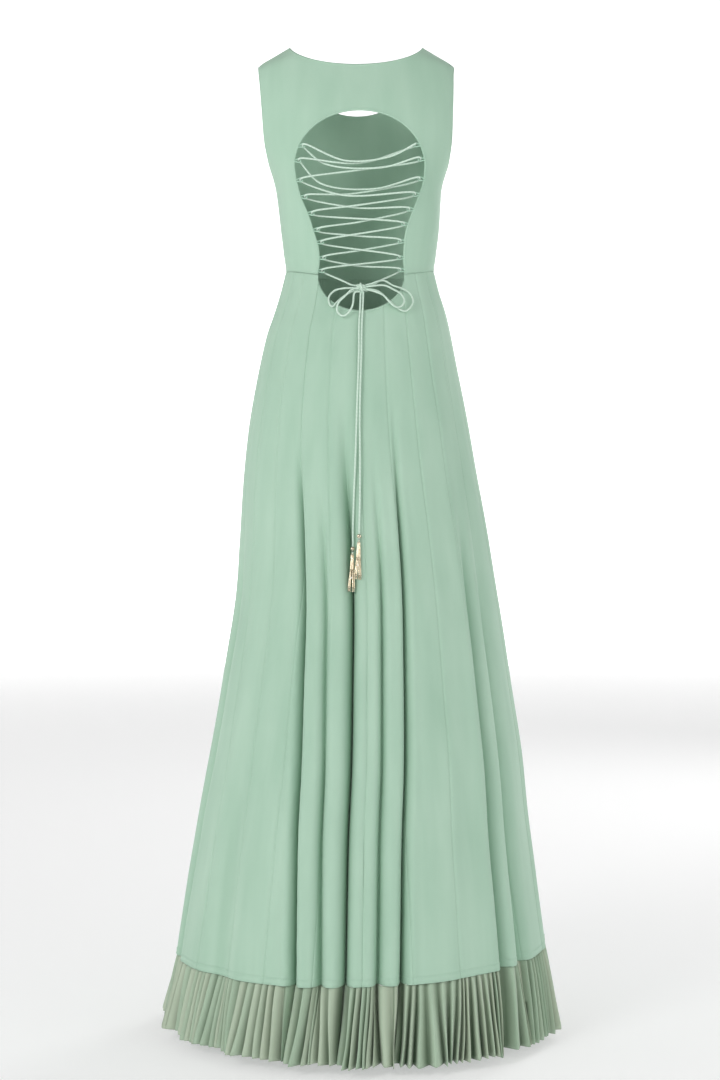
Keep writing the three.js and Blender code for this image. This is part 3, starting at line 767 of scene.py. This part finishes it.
def glassy(name, light, deep, rough):
    paint = Paint(name)
    swirl = paint.grain(paint.place(), 420.0, 2.0)
    return paint.finish(
        base_color=paint.blend(light, deep, swirl),
        roughness=rough + (swirl - 0.5) * 0.1,
        coat_weight=0.4,
        normal=paint.raised(swirl, 0.0001, 0.15),
    )


# The fourth colour of each crepe is a painted shade colour, laid into the valleys of the folds.
gown_crepe = crepe("gown_crepe", CREPE_LIGHT, CREPE_DEEP, (0.170, 0.370, 0.225, 1))
ruffle_crepe = crepe(
    "ruffle_crepe",
    (0.39, 0.55, 0.41, 1),
    (0.26, 0.40, 0.28, 1),
    # Painted shade colour for the valleys between the pleats.
    (0.05, 0.10, 0.05, 1),
    fade=(0.47, 0.53, 0.41, 1),
)
loop_satin = rouleau("loop_satin", (0.47, 0.69, 0.55, 1), (0.37, 0.60, 0.46, 1))
lace_satin = rouleau("lace_satin", (0.66, 0.80, 0.69, 1), (0.49, 0.67, 0.55, 1))
sewing_thread = thread("sewing_thread", (0.44, 0.66, 0.52, 1))
tube_gilt = gilt("tube_gilt", (0.88, 0.78, 0.60, 1), (0.56, 0.44, 0.28, 1), 0.30)
bead_gilt = gilt("bead_gilt", (0.86, 0.78, 0.62, 1), (0.40, 0.30, 0.18, 1), 0.24)
dark_glass = glassy("dark_glass", (0.05, 0.06, 0.05, 1), (0.12, 0.11, 0.08, 1), 0.15)
pearl = glassy("pearl", (0.88, 0.85, 0.78, 1), (0.78, 0.76, 0.70, 1), 0.22)

# ---------------------------------------------------------------- camera

CAMERA_DISTANCE = 3.15
CAMERA_HEIGHT = -0.782
VIEW_HEIGHT = 1.728
SENSOR = 36.0

camera_data = bpy.data.cameras.new("camera")
camera_data.sensor_width = SENSOR
camera_data.lens = SENSOR * CAMERA_DISTANCE / VIEW_HEIGHT
camera = bpy.data.objects.new("camera", camera_data)
camera.location = (0, CAMERA_DISTANCE, CAMERA_HEIGHT)
camera.rotation_euler = (math.radians(90), 0, math.radians(180))
bpy.context.scene.collection.objects.link(camera)
bpy.context.scene.camera = camera

# ---------------------------------------------------------------- lace, bow and tails

random.seed(41)


# Tassels: two tiers of short bugle tubes on threads, gathered under a round bead.
Tassel = namedtuple("Tassel", "name cord top")
TASSELS = [
    Tassel("tassel_left", "tail_left", np.array([10.9, 184.2, -791.0])),
    Tassel("tassel_right", "tail_right", np.array([1.2, 187.4, -772.2])),
]
TASSEL_LEAN = np.array([0.03, 0.19, -1.0])
TASSEL_LEAN /= np.linalg.norm(TASSEL_LEAN)
CORE = [2.0, 8.0, 15.0]

# Where each cord ends inside the knot, from its middle.
KNOT_AT = np.array([-3, 98, -391.0])
KNOT_ENDS = {
    "lace_left": (None, (5.5, -1.5, 3.0)),
    "lace_right": (None, (-5.5, -1.5, 3.0)),
    "bow_left_upper": ((6.0, 0.5, -0.5), (6.0, 0.5, -4.2)),
    "bow_left_lower": ((3.5, 2.5, -6.0), (4.0, 3.0, -1.5)),
    "bow_right_outer": ((-6.0, 1.0, 3.8), (-6.5, 0.5, -1.5)),
    "bow_right_inner": ((-7.0, 3.0, 1.2), (-6.5, 3.0, -3.0)),
    "tail_left": ((1.2, 1.0, -4.5), None),
    "tail_right": ((-2.0, 1.0, -4.5), None),
}


def cord_piece(name):
    """The cord of one route, its centre line and its length in metres. A tail runs on into its tassel."""
    core = [tassel.top + TASSEL_LEAN * down for tassel in TASSELS if tassel.cord == name for down in CORE]
    start, end = KNOT_ENDS.get(name, (None, None))
    route = [*([KNOT_AT + start] if start else []), *ROUTES[name], *core, *([KNOT_AT + end] if end else [])]
    centres = smooth_route(route)
    swell = 1 + 0.03 * np.sin(np.arange(len(centres)) * 0.9 + len(name))
    piece = solid_piece(name + "_cord", [tube(centres, CORD / 2 * swell)], lace_satin)
    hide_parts(name)
    length = float(arc_lengths(centres, 0)[-1]) / METRE
    return piece, [tuple(p / METRE) for p in centres], length


cords = {name: cord_piece(name) for name in ROUTES}

# The knot: a packed heart with the cord wound over it, once across and twice round.
KNOT_REACH = np.array([10.5, 5.6, 6.8])


def knot_wrap(start, end, lean, bulge):
    """One turn of cord over the knot's front, from one edge to the other."""
    points = []
    for t in np.linspace(0, 1, 15):
        lift = math.sin(math.pi * t)
        x = mix(start, end, t)
        z = lean * (t - 0.5)
        y = bulge * lift - 2.4
        points.append(KNOT_AT + [x, y, z])
    return points


def knot_heart():
    rings, sides = 14, 20
    vertices, runs, rounds = [], [], []
    for r in range(rings + 1):
        lift = math.pi * r / rings
        for n in range(sides):
            a = 2 * math.pi * n / sides
            swell = 1 + 0.05 * math.sin(3 * a + 1.3 * r)
            unit = np.array([math.cos(lift), math.sin(lift) * math.cos(a), math.sin(lift) * math.sin(a)])
            vertices.append(KNOT_AT + unit * KNOT_REACH * [0.84, 0.62, 0.8] * swell)
            runs.append(0.02 * r / rings)
            rounds.append(a)
    return vertices, ring_faces(rings, sides), runs, rounds


Wrap = namedtuple("Wrap", "start end lean bulge shift")
WRAPS = [
    Wrap(-7.5, 7.4, 3.2, 6.4, 3.0),
    Wrap(-8.2, 7.8, 1.0, 6.8, -0.2),
    Wrap(-7.4, 7.6, 2.4, 6.3, -3.4),
]


def knot_parts():
    parts = [knot_heart()]
    for wrap in WRAPS:
        points = np.array(knot_wrap(wrap.start, wrap.end, wrap.lean, wrap.bulge)) + [0, 0, wrap.shift]
        parts.append(tube(smooth_route(points, 3), 1.55))
    band = []
    for t in np.linspace(0, 1, 17):
        a = math.radians(mix(-70, 70, t))
        band.append(KNOT_AT + [1.2 + 1.2 * math.sin(a), 7.6 * math.cos(a) - 0.3, 6.6 * math.sin(a)])
    parts.append(tube(smooth_route(band, 3), 1.6))
    return parts


knot = solid_piece("bow_knot_wraps", knot_parts(), lace_satin)
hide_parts("bow_knot")

HEAD_BEAD = 3.5
STRANDS = 6
TIERS = 2
TIER_REACH = (2.6, 4.3)
TUBE_LENGTH = 24.0
TUBE_RADIUS = 0.95
JOINT_GAP = 1.9
STRAND_START = 12.6
HEAD_DOWN = 4.2
NECK_DOWN = 8.7
CAP_DOWN = 11.2
PEARL_DOWN = 49.0


def ball(centre, radius, sides=14, squash=1.0):
    """A round bead with its hole's rims along z."""
    rings = sides // 2
    vertices, runs, rounds = [], [], []
    for r in range(rings + 1):
        lift = math.pi * (0.06 + 0.88 * r / rings)
        for n in range(sides):
            a = 2 * math.pi * n / sides
            wide = math.sin(lift)
            unit = np.array([wide * math.cos(a), wide * math.sin(a), math.cos(lift) * squash])
            vertices.append(centre + radius * unit)
            runs.append(0.001 * r)
            rounds.append(a)
    faces = ring_faces(rings, sides, flip=True)
    faces.append(tuple(range(sides)))
    faces.append(tuple(rings * sides + n for n in range(sides))[::-1])
    return vertices, faces, runs, rounds


def rod(start, end, radius, sides=10):
    """A bugle tube with eased ends."""
    share = np.array([0, 0.012, 0.06, 0.5, 0.94, 0.988, 1.0])
    swell = np.array([0.72, 0.9, 1, 1, 1, 0.9, 0.72])
    points = start + (end - start) * share[:, None]
    return tube(points, radius * swell, sides)


def tassel_parts(top):
    """The tassel's tubes, beads, dark pieces and pearl, each as its own list of parts."""
    tubes, beads, darks, pearls, threads = [], [], [], [], []
    side = np.cross(TASSEL_LEAN, [0, 1, 0])
    side /= np.linalg.norm(side)
    other = np.cross(TASSEL_LEAN, side)
    beads.append(ball(top + TASSEL_LEAN * HEAD_DOWN, HEAD_BEAD, 20))
    darks.append(ball(top + TASSEL_LEAN * HEAD_DOWN + np.array([0, 2.6, 0]), 1.25, 12))
    darks.append(ball(top + TASSEL_LEAN * NECK_DOWN, 1.7, 12))
    beads.append(ball(top + TASSEL_LEAN * CAP_DOWN, 1.9, 12, 0.55))
    threads.append(tube([top, top + TASSEL_LEAN * 7, top + TASSEL_LEAN * 14], 0.5, 6))
    for n in range(STRANDS):
        a = 2 * math.pi * (n + random.uniform(-0.15, 0.15)) / STRANDS
        way = side * math.cos(a) + other * math.sin(a)
        shift = random.uniform(-1.2, 1.2)
        begin = STRAND_START + max(0, shift)
        last = top + TASSEL_LEAN * begin + way * 1.5
        for tier in range(TIERS):
            reach = TIER_REACH[tier] + random.uniform(-0.4, 0.4)
            down = begin + (tier + 1) * (TUBE_LENGTH + JOINT_GAP)
            end = top + TASSEL_LEAN * (down - JOINT_GAP) + way * reach
            tubes.append(rod(last, end, TUBE_RADIUS))
            joint = top + TASSEL_LEAN * (down - 0.7) + way * (reach + 0.1)
            beads.append(ball(joint, 1.45, 10))
            threads.append(tube([end, joint, joint + TASSEL_LEAN * 1.4], 0.3, 6))
            last = top + TASSEL_LEAN * (down + 0.6) + way * (reach + 0.1)
        for k in range(2):
            drop = top + TASSEL_LEAN * (down + 2.1 + 2.1 * k) + way * (reach + random.uniform(-0.8, 0.5))
            beads.append(ball(drop, random.uniform(0.95, 1.25), 8))
    pearls.append(ball(top + TASSEL_LEAN * PEARL_DOWN + other * -3.3 + side * 0.8, 1.6, 12))
    return tubes, beads, darks, pearls, threads


for tassel in TASSELS:
    tubes, beads, darks, pearls, threads = tassel_parts(tassel.top)
    made = [
        solid_piece(tassel.name + "_tubes", tubes, tube_gilt),
        solid_piece(tassel.name + "_beads", beads, bead_gilt),
        solid_piece(tassel.name + "_dark_bead", darks, dark_glass),
        solid_piece(tassel.name + "_pearl", pearls, pearl),
        solid_piece(tassel.name + "_threads", threads, sewing_thread),
    ]
    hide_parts(tassel.name)


# ---------------------------------------------------------------- bodice

BACK_ROWS = 40
FRONT_ROWS = 44
HALF_GAP = 0.2
WAIST_SHARE = 0.3
EDGE_PULL = 2.5
SEAM_DIP = 0.9
SEAM_REACH = 1.7
LIP = 0.55
TURN_IN = 1.3
SIDE_RADIUS = 125
DART_RADIUS = 112
DART_ANGLE = 34
DART_LEAN = 0.03
DART_TOP = -238
DART_FADE = 40


def seam_dip(distance):
    """A seam pulls the cloth in within a couple of millimetres of it."""
    return -SEAM_DIP * bump(distance, SEAM_REACH)


def turned_edge(distance):
    """An edge turned under: rounded in at its very end, a little proud beside it, quilted by its stitches."""
    return -TURN_IN * bump(distance, 0.9) + LIP * bump(distance - 2.2, 1.5) - 0.25 * bump(distance - 4.6, 0.8)


def reach_at(face, z):
    """The widest angle that the cloth reaches at one height: the side, or the armhole's edge."""
    edge = angle_at(BODY_SECTIONS, column(ARMHOLE, face, z), z)
    return np.where((z <= UNDERARM) | (z >= SHOULDER_TIP), 90.0, edge)


def angle_of(share, reach):
    """The angle at a share of the way round, drawn in near the edge so that a share of 1 meets it."""
    return 90 * share - (90 - reach) * signed_power(share, EDGE_PULL)


def share_of(angle, reach):
    """The share of the way round that has this angle."""
    share = angle / 90
    for _ in range(12):
        share = (angle + (90 - reach) * signed_power(share, EDGE_PULL)) / 90
    return share


def bodice_half(face, side):
    """A grid of angles and heights from the outer edge to the keyhole or the waist."""
    sign = 1 if side == "left" else -1
    rows = BACK_ROWS if face == "back" else FRONT_ROWS
    angles, heights = [], []
    even = np.linspace(0, 1, rows + 1)
    # Rows crowd towards both edges, where the turned edges need them.
    away = 1 - mix(even, 0.5 - 0.5 * np.cos(math.pi * even), 0.75)
    for i in range(HALF_STEPS + 1):
        run, t, keyhole, waist = run_at(i)
        outer_angle, outer_z = outer_edge(run, t, face)
        if face == "back":
            x, inner_z = keyhole_edge(keyhole, side)
            shift = column(BODY_SECTIONS, "shift", np.array(inner_z))
            inner_angle = sign * float(angle_at(BODY_SECTIONS, x - shift, np.array(inner_z)))
        else:
            inner_z, inner_angle = WAIST_SIDE, 90 * (1 - waist)
        height = mix(inner_z, outer_z, away)
        inner_share = share_of(inner_angle, reach_at(face, np.array(inner_z)))
        outer_share = share_of(outer_angle, reach_at(face, np.array(outer_z)))
        if run != "neckline":
            outer_share = 1.0
        angle = angle_of(mix(inner_share, outer_share, away**SPREAD), reach_at(face, height))
        if face == "back":
            start = waist_height(np.array(inner_angle))
            level = waist_height(angle) - mix(start, WAIST_SIDE, away)
            height = height + level * max(0, 1 - keyhole / WAIST_SHARE) ** 2
        else:
            angle = 180 - angle
        angles.append(sign * angle)
        heights.append(height)
    return np.array(angles), np.array(heights)


def bodice_grid(face):
    """Both halves of a bodice piece as one grid of angles and heights."""
    left = bodice_half(face, "left")
    right = bodice_half(face, "right")
    angles = np.concatenate([left[0], right[0][-2::-1]])
    heights = np.concatenate([left[1], right[1][-2::-1]])
    return angles, heights


def grid_edges(points):
    """Each grid point's distance from the outer edge and from the inner edge."""
    outer = arc_lengths(points, 1)
    return outer, outer[:, -1:] - outer


def eased(flags):
    """Turns a row of yes and no into 1 and 0 with soft changes between."""
    values = np.array(flags, float)
    for _ in range(3):
        padded = np.concatenate([values[:1], values, values[-1:]])
        values = (padded[:-2] + 2 * padded[1:-1] + padded[2:]) / 4
    return values


def bodice_points(face):
    angles, heights = bodice_grid(face)
    points = section_point(BODY_SECTIONS, angles, heights)
    outer, inner = grid_edges(points)
    push = creased(angles, heights)
    side_seam = np.minimum(np.abs(turn(angles - 90)), np.abs(turn(angles + 90))) * math.radians(SIDE_RADIUS)
    on_side = heights < UNDERARM + 12
    push = push + np.where(on_side, seam_dip(side_seam), 0)
    waist_run = np.abs(heights - waist_height(angles))
    push = push + seam_dip(waist_run) * 0.5
    run_names = [run_at(min(i, 2 * HALF_STEPS - i))[0] for i in range(len(angles))]
    open_edge = eased([name in ("armhole", "neckline") for name in run_names])[:, None]
    shoulder = eased([name == "shoulder" for name in run_names])[:, None]
    push = push + open_edge * turned_edge(outer) + shoulder * seam_dip(outer)
    if face == "back":
        push = push + turned_edge(inner)
    else:
        for sign in (1, -1):
            leaning = sign * (heights - WAIST_SIDE) * DART_LEAN
            across = turn(angles - 180 - sign * DART_ANGLE + leaning) * math.radians(DART_RADIUS)
            fades = smooth((DART_TOP - heights) / DART_FADE)
            push = push + fades * (0.7 * bump(across - 1.6, 1.2) - 0.9 * bump(across, 1.0))
    # The cloth isn't perfectly flat anywhere.
    quiver = np.sin(heights / 31 + angles / 13) * np.sin(angles / 9 - heights / 57 + 1.3)
    push = push + 0.55 * quiver * smooth(outer / 30) * smooth(inner / 30)
    points = sideways(points, angles, push, 0 * push)
    if face == "back":
        points[..., 1] += HALF_GAP
    else:
        points[..., 1] -= HALF_GAP
    return points, angles, heights


def stitch_row(path, normals, pitch=3.6, length=2.3, radius=0.26):
    """Short stitches along a path in millimetres, each sunk a little at its ends."""
    path = np.asarray(path, float)
    runs = np.concatenate([[0], np.cumsum(np.linalg.norm(np.diff(path, axis=0), axis=1))])
    parts = []
    count = int(runs[-1] // pitch)
    for n in range(count):
        begin = (n + 0.5) * runs[-1] / count - length / 2
        at = np.array([begin, begin + length / 2, begin + length])
        spots = np.stack([np.interp(at, runs, path[:, c]) for c in range(3)], axis=1)
        ways = np.stack([np.interp(at, runs, normals[:, c]) for c in range(3)], axis=1)
        lifts = np.array([-0.1, 0.22, -0.1])[:, None]
        parts.append(tube(spots + ways * lifts, radius, 5))
    return parts


def outward(points, angles):
    """Rough outward directions for points on the body."""
    return np.stack([np.sin(np.radians(angles)), np.cos(np.radians(angles)), 0 * angles], axis=-1)


def row_at(points, distances, value):
    """The path that runs at one distance from an edge, across every column of a grid."""
    path = []
    for i in range(points.shape[0]):
        path.append([np.interp(value, distances[i], points[i, :, c]) for c in range(3)])
    return np.array(path)


STITCH_INSET = 4.6
bodice = {}
bodice_stitches = []
for face in ("back", "front"):
    points, angles, heights = bodice_points(face)
    name = "bodice_" + face
    flip = face == "back"
    piece = cloth_sheet(name + "_cloth", points, gown_crepe, CLOTH_WALL, flip=flip)
    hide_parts("bodice_" + face)
    bodice[face] = (piece, points)
    outer, inner = grid_edges(points)
    path = row_at(points, outer, STITCH_INSET)
    ways = outward(path, angles[:, 8])
    names = [run_at(min(i, 2 * HALF_STEPS - i))[0] for i in range(len(angles))]
    for start, end in [(0, HALF_STEPS), (HALF_STEPS, 2 * HALF_STEPS)]:
        chosen = [i for i in range(start, end + 1) if names[i] == "armhole"]
        bodice_stitches += stitch_row(path[chosen], ways[chosen])
    chosen = [i for i in range(len(names)) if names[i] == "neckline"]
    bodice_stitches += stitch_row(path[chosen], ways[chosen])
    if face == "back":
        flipped = row_at(points[:, ::-1], inner[:, ::-1], STITCH_INSET)
        bodice_stitches += stitch_row(flipped, outward(flipped, angles[:, -8]))

stitched = solid_piece("bodice_stitches", bodice_stitches, sewing_thread)

for face, (piece, points) in bodice.items():
    sweep = np.linspace(-90, 90, 90) + (0 if face == "back" else 180)
    girth = section_point(BODY_SECTIONS, sweep, np.full(90, UNDERARM))
    width = float(arc_lengths(girth, 0)[-1]) / METRE
    length = (NECK_TOP - WAIST_SIDE + WAIST_BACK_DROP) / METRE
    with_pieces = [stitched] if face == "back" else []
    cloth_area(points)

# ---------------------------------------------------------------- skirt

TOP_ROWS = [0, 0.6, 1.4, 2.2, 3.4, 4.6, 6.0, 8.0]
HEM_ROWS = [16, 13.4, 12.4, 11.6, 10.2, 6, 2.4, 1.0, 0]
SKIRT_ROWS = 104
EDGE_SHARES = [0, 0.006, 0.014, 0.026, 0.045, 0.07]
KALI_COLUMNS = 24
HEM_BAND = 12.0
BAND_LIFT = 0.55


def kali_shares():
    middle = np.linspace(EDGE_SHARES[-1], 1 - EDGE_SHARES[-1], KALI_COLUMNS + 1)
    return np.concatenate([EDGE_SHARES[:-1], middle, [1 - share for share in EDGE_SHARES[-2::-1]]])


def skirt_rows(top, hem):
    """Heights down one column: close rows at the top edge and at the hem band, even ones between."""
    start, end = top - TOP_ROWS[-1], hem + HEM_ROWS[0]
    middle = mix(start, end, np.linspace(0, 1, SKIRT_ROWS + 1)[1:-1])
    return np.concatenate([top - np.array(TOP_ROWS), middle, hem + np.array(HEM_ROWS)])


def skirt_cloth(angle, z):
    """The skirt's outer face, with its hem band, but without its seams."""
    points = skirt_point(angle, z)
    above = z - seam_height(angle)
    band = BAND_LIFT * smooth((HEM_BAND - above) / 1.4) - 0.7 * bump(above, 1.1)
    quiver = 0.5 * np.sin(z / 43 + angle / 5.3) * np.sin(angle / 3.1 - z / 91) * smooth((WAIST_SIDE - z) / 60)
    return sideways(points, angle, band + quiver, 0 * band)


def kali_points(n):
    start = n * 360 / KALI_COUNT
    shares = kali_shares()
    columns = start + shares * 360 / KALI_COUNT
    tops = skirt_top(columns)
    heights = np.stack([skirt_rows(top, hem) for top, hem in zip(tops, seam_height(columns))])
    angles = np.repeat(columns[:, None], heights.shape[1], axis=1)
    points = skirt_cloth(angles, heights)
    across = arc_lengths(points, 0)
    seam = np.minimum(across, across[-1:] - across)
    below = arc_lengths(points, 1)
    open_top = smooth((waist_height(columns) - tops) / 8)[:, None]
    push = seam_dip(seam) + open_top * turned_edge(below) + (1 - open_top) * 0.5 * seam_dip(below)
    folded, _ = fold_push(angles, heights)
    # Painted shade: a mask that darkens the colour in the fold valleys, more strongly lower down the skirt.
    hollow = np.clip((-folded - 5) / 28, 0, 0.85) * mix(0.35, 1, smooth((-560 - heights) / 420))
    return sideways(points, angles, push, 0 * push), hollow


kalis = []
for n in range(KALI_COUNT):
    points, hollow = kali_points(n)
    name = "kali_%02d" % (n + 1)
    fields = {"hollow": hollow}
    piece = cloth_sheet(name + "_cloth", points, gown_crepe, CLOTH_WALL, fields=fields)
    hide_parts(name)
    width, length, area = flat_cut(points)
    kalis.append((piece, width, length, area))


def hem_path(above):
    angle = np.linspace(0, 360, 2400)
    z = seam_height(angle) + above
    path = sideways(skirt_cloth(angle, z), angle, 0 * angle + 0.12, 0 * angle)
    return path, outward(path, angle)


hem_stitches = stitch_row(*hem_path(HEM_BAND - 2.2)) + stitch_row(*hem_path(2.4))
angle = np.linspace(-46, 46, 600)
top = skirt_top(angle)
inside = waist_height(angle) - top > 2
angle, top = angle[inside], top[inside]
arch = sideways(skirt_cloth(angle, top - STITCH_INSET), angle, 0 * angle + 0.1, 0 * angle)
keyhole_stitches = stitch_row(arch, outward(arch, angle))
skirt_thread = solid_piece("skirt_stitches", hem_stitches + keyhole_stitches, sewing_thread)

for n, (piece, width, length, area) in enumerate(kalis):
    holder = "bodice_front_cloth" if 90 <= (n + 0.5) * 360 / KALI_COUNT <= 270 else "bodice_back_cloth"
    with_pieces = [skirt_thread] if n == 0 else []

# ---------------------------------------------------------------- ruffle

RUFFLE_PIECES = 4
PLEATS_A_PIECE = PLEATS // RUFFLE_PIECES
PLEAT_SHARES = np.array([0, 0.10, 0.26, 0.44, 0.58, 0.66, 0.76, 0.9])
PLEAT_RIDGE = 0.62
RUFFLE_ROWS = 22
RUFFLE_TUCK = 4.0
RUFFLE_HEM = -1543
RUFFLE_HEM_TILT = 4
PLEAT_HEIGHTS = (4.5, 18.0)
PLEAT_LEANS = (1.8, 5.6)
PLEAT_MIDDLE = 0.8
RUFFLE_DRIFT = 7.0
RUFFLE_SWAY = 5.5
RUFFLE_WAVE = 1.6
RUFFLE_SINK = 0.9


def pleat_edges():
    """The angles where the pleats of one ruffle piece start, in uneven widths."""
    phase = random.uniform(0, 6)
    widths = []
    for k in range(PLEATS_A_PIECE):
        cluster = 1.1 + 0.55 * math.sin(k * 0.97 + phase) + 0.25 * math.sin(k * 0.43 + phase * 2)
        widths.append(cluster * random.uniform(0.72, 1.28))
    edges = np.concatenate([[0], np.cumsum(widths)])
    return edges / edges[-1] * 360 / RUFFLE_PIECES


def pleat_profile(share):
    """0 in a valley and 1 on a ridge, with crisp folds and nearly flat faces."""
    rise = np.clip(share / PLEAT_RIDGE, 0, 1)
    fall = np.clip((1 - share) / (1 - PLEAT_RIDGE), 0, 1)
    flat = np.minimum(rise, fall)
    return mix(flat, smooth(flat), 0.35)


def ruffle_points(n):
    edges = pleat_edges()
    columns, shares, numbers = [], [], []
    for k in range(PLEATS_A_PIECE):
        for share in PLEAT_SHARES:
            columns.append(mix(edges[k], edges[k + 1], share))
            shares.append(share)
            numbers.append(k)
    columns.append(edges[-1])
    shares.append(1.0)
    numbers.append(PLEATS_A_PIECE - 1)
    columns = np.array(columns) + n * 360 / RUFFLE_PIECES
    shares, numbers = np.array(shares), np.array(numbers)
    depths = np.array([random.uniform(0.75, 1.3) for _ in range(PLEATS_A_PIECE)])[numbers]
    tones = np.array([random.uniform(0, 1) for _ in range(PLEATS_A_PIECE)])[numbers]
    # How strongly each pleat's valley is painted with shade.
    shades = np.array([random.uniform(0.45, 1.1) for _ in range(PLEATS_A_PIECE)])[numbers]
    lengths = np.array([random.uniform(-1.6, 1.6) for _ in range(PLEATS_A_PIECE)])[numbers]
    down = np.linspace(0, 1, RUFFLE_ROWS + 1)
    angle = np.repeat(columns[:, None], len(down), axis=1)
    seam = seam_height(angle)
    hem = RUFFLE_HEM + RUFFLE_HEM_TILT * np.sin(np.radians(angle))
    hem = hem + (lengths * np.sin(math.pi * shares))[:, None]
    z = mix(seam + RUFFLE_TUCK, hem, down)
    below = smooth(down)[None, :]
    base = section_point(SKIRT_SECTIONS, angle, np.minimum(z, seam))
    out, along = fold_push(angle, seam, 1 + 0.15 * below)
    out, along = out * (1 - 0.35 * below), along * (1 - 0.6 * below)
    under = np.clip((z - seam) / RUFFLE_TUCK, 0, 1)
    flare = RUFFLE_FLARE * down[None, :] ** 0.8
    height = mix(*PLEAT_HEIGHTS, down**0.8)[None, :] * depths[:, None]
    profile = pleat_profile(shares)[:, None]
    swing = (0.35 + 0.65 * down)[None, :]
    lean = profile * mix(*PLEAT_LEANS, down)[None, :] * (0.7 + 0.5 * depths[:, None])
    drift = RUFFLE_DRIFT * np.sin(np.radians(angle) * 23 + 0.9) * down[None, :] * swing
    sway = np.sin(np.radians(angle) * 19 + 2.2) + 0.6 * np.sin(np.radians(angle) * 31 + 0.4)
    wavy = RUFFLE_WAVE * np.sin(down[None, :] * 5.0 + numbers[:, None] * 1.7) * down[None, :]
    curl = -bump((1 - down[None, :]) * RUFFLE_DROP, 2.0)
    lift = (profile - PLEAT_MIDDLE) * height
    swayed = RUFFLE_SWAY * sway * down[None, :] ** 1.3
    push = out + flare + lift + swayed - 1.5 * under - RUFFLE_SINK + curl
    points = sideways(base, angle, push, along + lean + drift + wavy * profile)
    fade = np.clip(0.25 + 0.5 * tones[:, None] + 0.25 * (1 - profile) + 0 * z, 0, 1)
    # Painted shade: a mask that darkens the colour in each pleat's valley, more towards the hem, by a random
    # strength for each pleat.
    hollow = np.clip((1 - profile) * 1.9 - 0.55, 0, 1) * (0.7 + 0.3 * down[None, :]) * shades[:, None] + 0 * z
    return points, fade, hollow


for n in range(RUFFLE_PIECES):
    points, fade, hollow = ruffle_points(n)
    name = "ruffle_%d" % (n + 1)
    fields = {"tone": fade, "hollow": hollow}
    piece = cloth_sheet(name + "_cloth", points, ruffle_crepe, RUFFLE_WALL, fields=fields)
    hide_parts(name)
    width, length, area = flat_cut(points)

# ---------------------------------------------------------------- rouleau loops


def loop_points(z, side):
    sign = 1 if side == "left" else -1
    x = sign * keyhole_width(z, side)
    height = np.array(float(z))
    shift = float(column(BODY_SECTIONS, "shift", height))
    edge = section_point(BODY_SECTIONS, angle_at(BODY_SECTIONS, x - shift, height), height)
    root = np.array([x, float(edge[1]) - 1.0, z])
    inward = np.array([-sign * LOOP_INWARD[0], LOOP_INWARD[1], 0])
    outline = [*LOOP_OUTLINE, *[(out, -up) for out, up in LOOP_OUTLINE[-2::-1]]]
    wobble = random.uniform(-0.12, 0.12)
    return [root + inward * out + np.array([0, 0, up + out * wobble]) for out, up in outline]


for side, heights in LOOP_HEIGHTS.items():
    for n, z in enumerate(heights):
        name = "loop_%s_%d" % (side, n + 1)
        line = smooth_route(loop_points(z, side), 5)
        piece = solid_piece(name + "_rouleau", [tube(line, LOOP_CORD / 2, 10)], loop_satin)
        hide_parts(name)

# ---------------------------------------------------------------- stage and light

FLOOR_GAP = 0.012
FLOOR_REACH = 12.0

WALL_RADIUS = 9.0
WALL_TOP = 3.5
WALL_SIDES = 64


def stage_piece(name, finish, vertices, faces, tone, glow):
    """A plain matt surface under or round the gown, which isn't part of it."""
    mesh = bpy.data.meshes.new(name)
    mesh.from_pydata(vertices, [], faces)
    piece = bpy.data.objects.new(name, mesh)
    bpy.context.scene.collection.objects.link(piece)
    paint = Paint(finish)
    mesh.materials.append(
        paint.finish(
            base_color=(tone, tone, tone, 1),
            roughness=0.9,
            emission_color=(1, 1, 1, 1),
            emission_strength=glow,
            specular_ior_level=0.1,
        )
    )


floor_z = float(cad_box[0][2]) - FLOOR_GAP
corners = [(-1, -1), (1, -1), (1, 1), (-1, 1)]
floor = [(x * FLOOR_REACH, y * FLOOR_REACH, floor_z) for x, y in corners]
stage_piece("floor", "pale_floor", floor, [(0, 1, 2, 3)], 0.60, 0.45)

ring = []
for n in range(WALL_SIDES):
    a = 2 * math.pi * n / WALL_SIDES
    ring += [(WALL_RADIUS * math.cos(a), WALL_RADIUS * math.sin(a), z) for z in (floor_z, WALL_TOP)]
sides = [(2 * n, 2 * n + 1, (2 * n + 3) % len(ring), (2 * n + 2) % len(ring)) for n in range(WALL_SIDES)]
stage_piece("backdrop", "white_wall", ring, sides, 0.9, 0.66)

world = bpy.data.worlds.new("studio")
world.use_nodes = True
sky = world.node_tree.nodes["Background"]
sky.inputs["Color"].default_value = (1, 1, 1, 1)
sky.inputs["Strength"].default_value = 0.20
bpy.context.scene.world = world
bpy.context.scene.view_settings.view_transform = "Standard"

Lamp = namedtuple("Lamp", "name x y z size power")
LAMPS = [
    Lamp("key", 2.3, 3.1, 0.9, 1.2, 46),
    Lamp("fill", -2.6, 2.6, -0.2, 1.8, 9),
    Lamp("front", -1.9, -3.2, 0.9, 1.2, 42),
]
AIM = Vector((0, 0, -0.8))
for lamp in LAMPS:
    data = bpy.data.lights.new(lamp.name, "AREA")
    data.shape = "SQUARE"
    data.size = lamp.size
    data.energy = lamp.power
    holder = bpy.data.objects.new(lamp.name, data)
    holder.location = (lamp.x, lamp.y, lamp.z)
    holder.rotation_euler = (AIM - holder.location).to_track_quat("-Z", "Y").to_euler()
    bpy.context.scene.collection.objects.link(holder)
